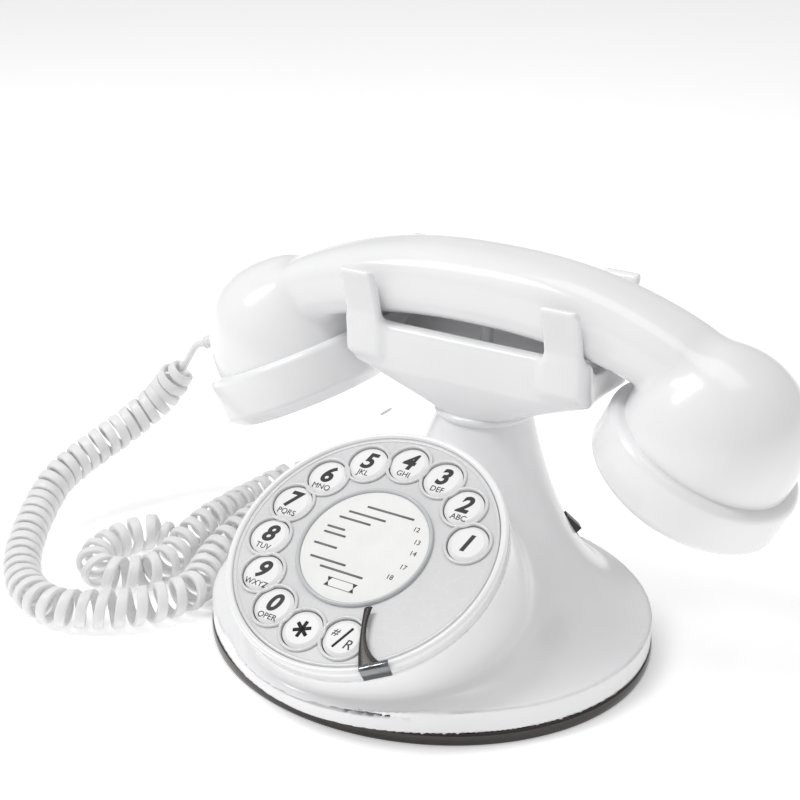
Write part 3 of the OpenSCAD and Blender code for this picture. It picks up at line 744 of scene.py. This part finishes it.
@dataclass
class Handset:
    """The handle with its two domes, the caps and the cord's relief."""

    place: Placing
    dome_r: float = 28.6
    dome_h: float = 33.0
    dome_power: float = 2.3
    half_w: float = 16.4
    top: float = 122.0
    bottom: float = 98.0
    half_l: float = 94.0
    nose: float = 24.0
    droop: float = 26.0
    droop_power: float = 2.3
    power: float = 2 / 0.7
    blend: float = 3.0
    cap_r: float = 32.6
    cap_h: float = 19.0
    step: float = 1.05

    def handle(self, p: np.ndarray) -> np.ndarray:
        """Superellipse sections about a line that droops as |x|^2.3, closed by ellipsoid noses."""
        x = np.abs(p[:, 0])
        mid = (self.top + self.bottom) / 2 - self.droop * (x / self.half_l) ** self.droop_power
        wide, high = self.half_w, (self.top - self.bottom) / 2
        ring = (np.abs((p[:, 1] - NECK_Y) / wide) ** self.power + np.abs((p[:, 2] - mid) / high) ** self.power) ** (
            1 / self.power
        )
        nose = np.maximum(x - self.half_l + self.nose, 0) / self.nose
        return (np.sqrt(ring**2 + nose**2) - 1) * high * 1.1

    def dome(self, p: np.ndarray, side: int) -> np.ndarray:
        """(r / R)^n + (h / H)^n = 1 about the dome's axis, above its seam."""
        q = dome_seat(side).local(p)
        r, h = np.hypot(q[:, 0], q[:, 1]), np.maximum(q[:, 2], 0)
        ring = ((r / self.dome_r) ** self.dome_power + (h / self.dome_h) ** self.dome_power) ** (1 / self.dome_power)
        return (ring - 1) * 29

    def shape(self, p: np.ndarray) -> np.ndarray:
        """Handle and domes with a tight soft joint, cut off at the seams."""
        body = soft_min(self.handle(p), np.minimum(self.dome(p, -1), self.dome(p, 1)), self.blend)
        for side in (-1, 1):
            q = dome_seat(side).local(p)
            near = np.hypot(q[:, 0], q[:, 1]) < 40
            body = np.where(near & (side * p[:, 0] > 40), np.maximum(body, -1.5 - q[:, 2]), body)
        return body

    def cap_profile(self) -> np.ndarray:
        """Section of a cap: shoulder under the seam, upright side, flat bevel and face, corners softened."""
        r, h = self.cap_r, self.cap_h
        return rounded(
            [(0, -h, 0), (r - 4.6, -h, 1.1), (r, -h + 3.8, 1.3), (r + 0.0, -1.4, 1.2), (r - 1.6, 0, 0.8), (0, 0, 0)],
            False,
            6,
        )

    def cap(self, side: int, name: str, node: str) -> None:
        """Makes a cap with its ring of sound holes, which are not cut: flat dark discs on the face are painted shade
        of the holes.
        """
        seat = dome_seat(side)
        shell = lathe(name, seat, self.cap_profile(), sides=160)
        self.place.put(shell, "handset", "ivory_handset", replaces=(node,))
        for i in range(7):
            a = math.radians(60 * i)
            spot = np.array([8 * math.cos(a), 8 * math.sin(a), 0]) if i else np.zeros(3)
            hole_seat = Seat(seat.origin + spot @ seat.axes, seat.axes)
            section = np.array([(0, -self.cap_h - 0.04), (1.1, -self.cap_h - 0.02), (1.1, -self.cap_h + 0.3), (0, -self.cap_h + 0.3)])
            # flat dark disc on the face: painted shade of a sound hole
            hole_shade_disc = lathe(f"{name}_hole_{i}", hole_seat, section, sides=20)
            self.place.put(hole_shade_disc, "handset", "dark_plastic")

    def relief(self) -> None:
        """Ribbed strain relief: radius tapers and swells as a cosine seven times along it."""
        seat = dome_seat(-1)
        root = self.dome_r * (1 - (12 / self.dome_h) ** self.dome_power) ** (1 / self.dome_power) - 0.6
        s = np.linspace(0, 13, 79)
        r = 3.15 - 0.065 * s + 0.42 * (np.cos(2 * np.pi * s / 1.75) > 0.1) - 0.42
        profile = np.vstack([[(0, 0)], np.stack([r, s], axis=1), [(0, 13)]])
        axes = np.array([seat.axes[2], seat.axes[1], -seat.axes[0]])
        place = Seat(seat.origin + np.array([-root, 0, 12]) @ seat.axes, axes)
        piece = lathe("strain_relief_sleeve", place, profile, sides=40)
        self.place.put(piece, "handset", "cord_white", replaces=("strain_relief",))

    def build(self) -> None:
        """Meshes the handset body and its pieces."""
        points, faces = level_surface(self.shape, [-112, 2, 55], [112, 67, 125], self.step)
        body = new_object("handset_shell", points, faces)
        self.place.put(body, "handset", "ivory_handset", replaces=("handset_body",))
        self.cap(1, "ear_cap_turned", "ear_cap")
        self.cap(-1, "mouth_cap_turned", "mouth_cap")
        self.relief()


# ---------------------------------------------------------------- dial


KEY_FACES = (
    ("key_1", "1", ""),
    ("key_2", "2", "ABC"),
    ("key_3", "3", "DEF"),
    ("key_4", "4", "GHI"),
    ("key_5", "5", "JKL"),
    ("key_6", "6", "MNO"),
    ("key_7", "7", "PQRS"),
    ("key_8", "8", "TUV"),
    ("key_9", "9", "WXYZ"),
    ("key_0", "0", "OPER"),
    ("key_star", "*", ""),
    ("key_hash", "#/R", ""),
)


def print_text(name: str, text: str, height: float, spot: tuple[float, float, float], slant: float, bold: float) -> bpy.types.Object:
    """Flat printed characters on the dial's plane, made a mesh before they are placed.

    Args:
        name: Piece name.
        text: Digits or keypad letters.
        height: Capital height, in mm.
        spot: Middle of the text in the dial's frame, in mm.
        slant: Shear of the letters.
        bold: Growth of the outline, in font units.
    Returns:
        The mesh object.
    """
    curve = bpy.data.curves.new(name, "FONT")
    curve.body, curve.shear, curve.offset = text, slant, bold
    curve.extrude = 0.012
    curve.resolution_u = 6
    source = bpy.data.objects.new(name + "_source", curve)
    bpy.context.scene.collection.objects.link(source)
    bpy.context.view_layer.update()
    mesh = bpy.data.meshes.new_from_object(source.evaluated_get(bpy.context.evaluated_depsgraph_get()))
    bpy.data.objects.remove(source)
    co = np.empty(len(mesh.vertices) * 3, np.float32)
    mesh.vertices.foreach_get("co", co)
    co = co.reshape(-1, 3).astype(float)
    middle = (co.min(axis=0) + co.max(axis=0)) / 2
    scale = height / 0.72 if text not in ("*",) else height / (co[:, 1].max() - co[:, 1].min())
    local = (co - middle) * scale
    local[:, 2] = np.where(local[:, 2] > 0, 0.05, -0.1)
    mesh.vertices.foreach_set("co", DIAL.out(local + np.array(spot)).astype(np.float32).ravel())
    mesh.update()
    mesh.name = name
    thing = bpy.data.objects.new(name, mesh)
    bpy.context.scene.collection.objects.link(thing)
    return thing


def dial_seat_at(x: float, y: float, h: float) -> Seat:
    """A seat in the dial's plane, turned as the dial is."""
    return Seat(DIAL.origin + np.array([x, y, h]) @ DIAL.axes, DIAL.axes)


@dataclass
class Dial:
    """Bezel, wheel, keys with their print, the card and the finger stop."""

    place: Placing
    pitch_r: float = 32.5
    first: float = 20.0
    turn: float = 24.4
    hole_r: float = 6.65
    wheel_r: float = 42.1
    wheel_top: float = 1.2
    key_top: float = 1.5
    label_r: float = 20.4
    keys: int = field(default=12)

    def key_spot(self, i: int) -> tuple[float, float]:
        """Middle of a key in the dial's frame."""
        a = math.radians(self.first + self.turn * i)
        return self.pitch_r * math.cos(a), self.pitch_r * math.sin(a)

    def bezel(self) -> None:
        """Lathe: a flange under the plate, an upright wall and a full round bead on top."""
        outer, inner = 44.6, 42.25
        mid = (outer + inner) / 2
        a = np.radians(np.linspace(0, 180, 13))
        r = (outer - inner) / 2
        bead = np.stack([mid + r * np.cos(a), 0.85 + r * np.sin(a)], axis=1)
        profile = np.vstack([[(40.7, -3.0), (44.25, -3.0), (44.25, -0.4)], bead, [(42.25, -2.0), (40.7, -2.0)]])
        ring = lathe("dial_bezel_ring", DIAL, profile, sides=192)
        self.place.put(ring, "base", "ivory_shell", replaces=("dial_bezel",))

    def wheel(self) -> None:
        """Rounded rims round the finger holes and the wheel's edge bead."""
        a = np.linspace(0, 2 * np.pi, 20, endpoint=False)
        for i in range(self.keys):
            x, y = self.key_spot(i)
            rim = np.stack([self.hole_r + 0.55 + 0.55 * np.cos(a), self.wheel_top + 0.35 + 0.42 * np.sin(a)], axis=1)
            ring = lathe(f"finger_hole_rim_{i}", dial_seat_at(x, y, 0), rim, sides=72)
            self.place.put(ring, "base", "clear_wheel")
        edge = np.stack([self.wheel_r - 0.7 + 0.6 * np.cos(a), self.wheel_top + 0.25 * np.sin(a)], axis=1)
        self.place.put(lathe("wheel_edge_bead", DIAL, edge, sides=192), "base", "clear_wheel")

    def label(self) -> None:
        """Retaining ring, ruled lines, two-digit numbers and an empty box on the card."""
        a = np.linspace(0, 2 * np.pi, 20, endpoint=False)
        ring = np.stack([self.label_r + 0.75 + 0.65 * np.cos(a), self.wheel_top + 0.5 + 0.7 * np.sin(a)], axis=1)
        self.place.put(lathe("label_ring_bead", DIAL, ring, sides=144), "base", "clear_ring", replaces=("label_ring",))
        top = self.wheel_top + 0.42
        rows = (
            (-6.5, 13.6, 17.0),
            (-11.5, 10.3, 13.5),
            (-13.5, 7.6, 11.5),
            (-15.5, 3.4, 6.5),
            (-15.5, 1.2, 8.0),
            (-16.5, -3.4, 8.5),
            (-15.0, -8.2, 13.0),
            (-10.0, -10.6, 15.5),
        )
        for k, (x, y, length) in enumerate(rows):
            self.bar(f"card_line_{k}", x, y, length, 0.75, top)
        for text, x, y in (("12", 13.2, 10.6), ("13", 15.6, 6.4), ("14", 16.4, 2.4), ("17", 15.9, -3.0), ("18", 13.6, -7.4)):
            digits = print_text(f"card_number_{text}", text, 1.7, (x, y, top), 0.0, 0.0)
            self.place.put(digits, "base", "card_paper", Finishes.INK)
        for k, (x, y, w, h) in enumerate(((-4.5, -13.3, 9.0, 0.22), (-4.5, -16.3, 9.0, 0.22), (-4.5, -14.8, 0.22, 3.2), (4.5, -14.8, 0.22, 3.2))):
            self.bar(f"card_box_{k}", x if w > 1 else x - 0.11, y, w, h, top, Finishes.GREY_INK)

    def bar(self, name: str, x: float, y: float, length: float, height: float, level: float, ink: Finishes = Finishes.GREY_INK) -> None:
        """A printed bar on the card from x rightwards, centred on y."""
        outline = rounded([(x, y - height / 2, height * 0.3), (x + length, y - height / 2, height * 0.3), (x + length, y + height / 2, height * 0.3), (x, y + height / 2, height * 0.3)], True, 3)
        rings = np.stack([np.column_stack([outline, np.full(len(outline), z)]) for z in (level - 0.05, level + 0.02)])
        piece = closed_tube(name, DIAL.out(rings.reshape(-1, 3)).reshape(rings.shape))
        self.place.put(piece, "base", "card_paper", ink)

    def stroke(self, name: str, body: str, start: np.ndarray, end: np.ndarray, width: float) -> None:
        """A printed bar between two spots on a key."""
        side = np.array([start[1] - end[1], end[0] - start[0]]) / np.hypot(*(end - start)) * width / 2
        corners = [(*spot, width * 0.15) for spot in (start - side, end - side, end + side, start + side)]
        outline = rounded(corners, True, 3)
        levels = (self.key_top - 0.08, self.key_top + 0.07)
        rings = np.stack([np.column_stack([outline, np.full(len(outline), z)]) for z in levels])
        piece = closed_tube(name, DIAL.out(rings.reshape(-1, 3)).reshape(rings.shape))
        self.place.put(piece, body, "key_white", Finishes.INK)

    def print_keys(self) -> None:
        """Digits and letters on the keys, riding each key."""
        for i, (node, digit, letters) in enumerate(KEY_FACES):
            x, y = self.key_spot(i)
            body = node + "_body"
            if digit == "*":
                for k, angle in enumerate((84, 24, 144)):
                    arm = 2.9 * np.array([math.cos(math.radians(angle)), math.sin(math.radians(angle))])
                    self.stroke(f"{node}_arm_{k}", body, np.array([x, y]) - arm, np.array([x, y]) + arm, 1.15)
                continue
            if digit == "#/R":
                self.stroke(node + "_slash", body, np.array([x - 1.7, y - 3.7]), np.array([x + 1.5, y + 3.9]), 0.8)
                for part, text, high, dx, dy in (("hatch", "#", 2.6, -2.9, 1.0), ("letter", "R", 3.3, 2.7, -1.5)):
                    spot = (x + dx, y + dy, self.key_top + 0.02)
                    self.place.put(print_text(f"{node}_{part}", text, high, spot, 0.2, 0.0), body, "key_white", Finishes.INK)
                continue
            lift = 1.1 if letters else 0.0
            main = print_text(node + "_digit", digit, 6.0, (x, y + lift, self.key_top + 0.02), 0.22, 0.034)
            self.place.put(main, body, "key_white", Finishes.INK)
            if letters:
                small = print_text(node + "_letters", letters, 2.0, (x, y - 3.9, self.key_top + 0.02), 0.0, 0.0)
                self.place.put(small, body, "key_white", Finishes.INK)

    def stop(self) -> None:
        """Finger stop: a blade between two curves over the wheel and a strip folded down over the bead."""
        a = math.radians(303)
        c, s = math.cos(a), math.sin(a)
        axes = np.array([[c, s, 0], [-s, c, 0], [0, 0, 1]]) @ DIAL.axes
        seat = Seat(DIAL.origin, axes)
        t = np.linspace(0, 1, 40)
        r = 24 + 21.2 * t
        left = 1.7 - 4.4 * np.sin(np.pi * np.clip(t * 0.92, 0, 1) ** 0.9) ** 1.0 * 0.6 + 3.7 * t**6
        right = -0.8 - 3.9 * t**0.9 + 1.1 * t**4
        across = np.linspace(0, 1, 9)[None, :]
        y = right[:, None] * (1 - across) + left[:, None] * across
        rim = np.minimum(across, 1 - across) * 2
        top = 3.7 - 0.5 * (1 - rim) ** 3 + 0 * y
        upper = np.stack([r[:, None] + 0 * y, y, top], axis=-1)
        lower = np.stack([r[:, None] + 0 * y, y, top * 0 + 2.9], axis=-1)[:, ::-1]
        rings = np.concatenate([upper, lower], axis=1)
        blade = closed_tube("stop_blade", seat.out(rings.reshape(-1, 3)).reshape(rings.shape))
        # the blade's darker chrome is painted dark reflection
        self.place.put(blade, "base", "chrome_stop", Finishes.DARK_CHROME, replaces=("finger_stop",))
        arc = np.radians(np.linspace(90, 0, 9))
        path = np.vstack([[(43.5, 3.35)], np.stack([44.4 + 1.0 * np.cos(arc), 2.35 + 1.0 * np.sin(arc)], axis=1), [(45.4, -1.2)]])
        lean = unit(np.gradient(path, axis=0))
        side = np.stack([-lean[:, 1], lean[:, 0]], axis=1)
        around = np.array([(-0.5, -1), (0.5, -1), (0.5, 1), (-0.5, 1)])
        half = np.array([4.3, 0.35])
        ring = np.array([rounded([(sx * 2 * half[0], sy * half[1], 0.2) for sx, sy in around], True, 3)] * len(path))
        pts = np.stack(
            [
                path[:, None, 0] + ring[..., 1] * side[:, None, 0],
                0.9 + ring[..., 0],
                path[:, None, 1] + ring[..., 1] * side[:, None, 1],
            ],
            axis=-1,
        )
        fold = closed_tube("stop_fold", seat.out(pts.reshape(-1, 3)).reshape(pts.shape))
        self.place.put(fold, "base", "chrome_stop")

    def build(self) -> None:
        """Makes the dial's pieces."""
        self.bezel()
        self.wheel()
        self.label()
        self.print_keys()
        self.stop()


# ---------------------------------------------------------------- cord


@dataclass
class CurlyCord:
    """The handset cord: a thin lead, a flat ribbon wound in a coil, and a thin tail to the rear socket."""

    place: Placing
    lead_r: float = 1.3
    coil_r: float = 5.6
    ribbon_w: float = 3.7
    ribbon_t: float = 1.9
    tight_pitch: float = 4.9
    loose_pitch: float = 6.4
    per_turn: int = 22
    sides: int = 14
    start: tuple[float, float, float] = (-131, 34.2, 53.6)
    end: tuple[float, float, float] = (-107, -4, 7)
    route: tuple[tuple[float, float, float], ...] = (
        (-139, 30, 41),
        (-146, 19, 32),
        (-150, 8, 27),
        (-153, -2, 23),
        (-154, -13, 19),
        (-151, -25, 14),
        (-145, -37, 11),
        (-137, -49, 8.5),
        (-127, -59, 7),
        (-115, -65.5, 7),
        (-103, -66.5, 7),
        (-92.5, -61.5, 7),
        (-85, -56, 7),
        (-79.3, -49.3, 7),
        (-75.2, -41.5, 7),
        (-73, -33.5, 7),
        (-76, -25, 7),
        (-80, -14, 7.6),
        (-82, -3, 9),
        (-83, 8, 9.8),
        (-84, 20, 9.2),
        (-84, 32, 7.6),
        (-81, 44, 7),
        (-81, 55, 7),
        (-89, 61.5, 7),
        (-97, 54, 7),
        (-98.5, 42, 7),
        (-99, 30, 7.4),
        (-98, 18, 8.6),
        (-97, 7, 9.8),
        (-96, -3, 9.5),
        (-95, -13, 8.2),
        (-93.2, -22, 7.2),
        (-93.4, -31, 7),
        (-98.5, -38, 7),
        (-107, -41, 7),
        (-114.5, -37, 7),
        (-118, -28.5, 7),
        (-117.5, -18, 7),
        (-113.5, -9, 7),
    )
    tail: tuple[tuple[float, float, float], ...] = (
        (-103.5, -1.2, 4.6),
        (-98.5, 2.5, 1.8),
        (-90, 6.5, 1.6),
        (-81, 11, 1.6),
        (-76.2, 20, 1.6),
        (-70.5, 33, 1.6),
        (-62, 45, 1.6),
        (-50, 57, 1.8),
        (-41, 67, 4),
        (-35.5, 74, 8),
    )

    def helix(self) -> np.ndarray:
        """Points of the coil: centre line plus coil_r turned about it, the turn per mm being one over the pitch."""
        line = spline(np.array([self.start, *self.route, self.end]), 0.25)
        length = np.arange(len(line)) * np.linalg.norm(line[1] - line[0])
        pitch = np.interp(length, [0, 95, 190, length[-1]], [self.tight_pitch, self.tight_pitch, self.loose_pitch, self.loose_pitch])
        turns = np.concatenate([[0], np.cumsum(np.diff(length) / pitch[1:])])
        even = np.linspace(0, turns[-1], int(turns[-1] * self.per_turn))
        at = np.stack([np.interp(even, turns, line[:, k]) for k in range(3)], axis=1)
        along = unit(np.gradient(at, axis=0))
        side = unit(np.cross(along, [0, 0, 1]))
        up = np.cross(side, along)
        ends = np.minimum(even, even[-1] - even)
        grow = self.coil_r * (1 - np.exp(-3.2 * ends))
        a = (2 * np.pi * even)[:, None]
        LOG.info("coil: %.0f mm long, %.1f turns", length[-1], turns[-1])
        return at + grow[:, None] * (np.cos(a) * side + np.sin(a) * up)

    def build(self, exit_point: np.ndarray, plug_end: np.ndarray, plug_out: np.ndarray) -> tuple[bpy.types.Object, float]:
        """Args:
            exit_point: Where the cord leaves its relief, in mm.
            plug_end: Outer face of the plug, in mm.
            plug_out: Direction out of the socket.
        Returns:
            The cord and its length in metres.
        """
        coil = self.helix()
        lead = spline(np.array([exit_point, exit_point + [-5, 0, -2.6], coil[0] - 0.7 * unit(coil[3] - coil[0]), coil[0]]), 0.8)[:-1]
        tail = spline(np.array([coil[-1], *self.tail, plug_end + 5 * plug_out, plug_end]), 1.6)[1:]
        path = np.vstack([lead, coil, tail])
        kind = np.concatenate([np.zeros(len(lead)), np.ones(len(coil)), np.zeros(len(tail))])
        reach = np.arange(len(coil)) / self.per_turn
        ease = np.clip(np.minimum(reach, reach[::-1]) / 0.5, 0, 1)
        kind[len(lead) : len(lead) + len(coil)] = ease
        along = unit(np.gradient(path, axis=0))
        middle = spline(np.array([self.start, *self.route, self.end]), 0.25)
        nearest = middle[np.abs(((path[:, None, ::1] - middle[None, ::8]) ** 2).sum(axis=2)).argmin(axis=1) * 8]
        outward = path - nearest
        fallback = np.cross(along, [0.02, 0.03, 1.0])
        outward = unit(np.where(kind[:, None] > 0.3, outward, fallback))
        outward = unit(outward - (outward * along).sum(axis=1, keepdims=True) * along)
        wide = np.cross(along, outward)
        b = np.linspace(0, 2 * np.pi, self.sides, endpoint=False)
        power = 2 / (2 + 1.6 * kind[:, None])
        cu, su = np.cos(b)[None, :], np.sin(b)[None, :]
        half_w = (self.lead_r + (self.ribbon_w / 2 - self.lead_r) * kind)[:, None] * np.sign(cu) * np.abs(cu) ** power
        half_t = (self.lead_r + (self.ribbon_t / 2 - self.lead_r) * kind)[:, None] * np.sign(su) * np.abs(su) ** power
        rings = path[:, None, :] + half_w[..., None] * wide[:, None, :] + half_t[..., None] * outward[:, None, :]
        cord = closed_tube("handset_cord", rings * MM)
        length = float(np.linalg.norm(np.diff(path, axis=0), axis=1).sum() * MM)
        self.path = path
        self.place.put(cord, None, "cord_white", replaces=("cord_lead", "cord_coil", "cord_tail"))
        return cord, length


# ---------------------------------------------------------------- studio


@dataclass
class Studio:
    """Pale floor, soft lights and the camera."""

    paint: Paint
    camera_at: tuple[float, float, float] = (0.23738, -0.39357, 0.27151)
    azimuth: float = 32.343
    elevation: float = 22.511
    roll: float = 0.17
    lens: float = 71.23

    def camera(self) -> None:
        """Places the camera from its azimuth, elevation and roll."""
        data = bpy.data.cameras.new("camera")
        data.lens, data.sensor_width, data.clip_start = self.lens, 36.0, 0.01
        thing = bpy.data.objects.new("camera", data)
        bpy.context.scene.collection.objects.link(thing)
        turn = (
            Matrix.Rotation(math.radians(self.azimuth), 4, "Z")
            @ Matrix.Rotation(math.radians(90 - self.elevation), 4, "X")
            @ Matrix.Rotation(math.radians(self.roll), 4, "Z")
        )
        thing.matrix_world = Matrix.Translation(self.camera_at) @ turn
        bpy.context.scene.camera = thing

    def light(self, name: str, at: tuple[float, float, float], aim: tuple[float, float, float], size: tuple[float, float], power: float) -> None:
        """Adds a rectangular soft light that faces aim."""
        data = bpy.data.lights.new(name, "AREA")
        data.shape, data.size, data.size_y, data.energy = "RECTANGLE", size[0], size[1], power
        thing = bpy.data.objects.new(name, data)
        bpy.context.scene.collection.objects.link(thing)
        back = unit(np.array(at, float) - np.array(aim, float))
        right = unit(np.cross([0, 0, 1], back)) if abs(back[2]) < 0.999 else np.array([1.0, 0, 0])
        up = np.cross(back, right)
        rows = np.stack([right, up, back], axis=1)
        matrix = Matrix([[*rows[0], at[0]], [*rows[1], at[1]], [*rows[2], at[2]], [0, 0, 0, 1]])
        thing.matrix_world = matrix

    def build(self) -> None:
        """Makes the floor, the lights, the world and the camera."""
        size = 6.0
        corner = np.array([(-size, -size, 0), (size, -size, 0), (size, size, 0), (-size, size, 0)], float)
        floor = new_object("floor", corner, np.array([[0, 1, 2, 3]]), False)
        self.paint.dress(floor, Finishes.FLOOR)
        world = bpy.data.worlds.new("studio")
        world.use_nodes = True
        sky = world.node_tree.nodes["Background"]
        sky.inputs["Color"].default_value = (1, 1, 1, 1)
        sky.inputs["Strength"].default_value = 0.5
        bpy.context.scene.world = world
        bpy.context.scene.view_settings.view_transform = "Standard"
        self.light("key_softbox", (-0.5, -0.35, 0.95), (0, 0, 0.06), (0.2, 0.7), 5.0)
        self.light("top_softbox", (0.1, 0.3, 1.2), (0, 0, 0.05), (0.9, 0.6), 2.5)
        self.camera()


def dress_nodes(paint: Paint, frame: dict) -> None:
    """Gives every CAD node the finish of its record slot."""
    for row in RECORD["subparts"]:
        paint.dress(frame["nodes"][row["node"]], SLOT_FINISH[row["material_slot"]])


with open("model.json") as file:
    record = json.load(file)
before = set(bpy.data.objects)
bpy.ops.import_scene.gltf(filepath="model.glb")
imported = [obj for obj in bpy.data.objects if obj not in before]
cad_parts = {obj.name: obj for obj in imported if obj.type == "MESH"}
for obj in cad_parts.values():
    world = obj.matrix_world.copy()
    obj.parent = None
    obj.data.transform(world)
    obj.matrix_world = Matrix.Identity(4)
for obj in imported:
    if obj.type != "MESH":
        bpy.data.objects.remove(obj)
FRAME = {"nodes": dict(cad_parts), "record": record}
RECORD = FRAME["record"]


def main() -> None:
    """Builds the telephone around the frame."""
    logging.basicConfig(level=logging.INFO, format="%(message)s")
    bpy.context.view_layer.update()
    paint = Paint()
    place = Placing(paint)
    dress_nodes(paint, FRAME)
    BaseShell(place).build()
    BaseRing(place).build()
    Cradle(place).build()
    Handset(place).build()
    Dial(place).build()
    cord_maker = CurlyCord(place)
    lean, root = DOME_LEAN, 28.6 * (1 - (12 / 33) ** 2.3) ** (1 / 2.3) - 0.6
    exit_point = np.array(
        [
            -78.8 - math.cos(lean) * (root + 13) - math.sin(lean) * 12,
            NECK_Y,
            71.8 - math.sin(lean) * (root + 13) + math.cos(lean) * 12,
        ]
    )
    socket = rim_seat(112)
    plug_end = socket.origin + 8 * socket.axes[0] + np.array([0, 0, 10])
    cord, length = cord_maker.build(exit_point, plug_end, socket.axes[0])
    LOG.info("cord length %.3f m", length)
    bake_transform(cord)
    Studio(paint).build()
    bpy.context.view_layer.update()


if __name__ == "__main__":
    main()
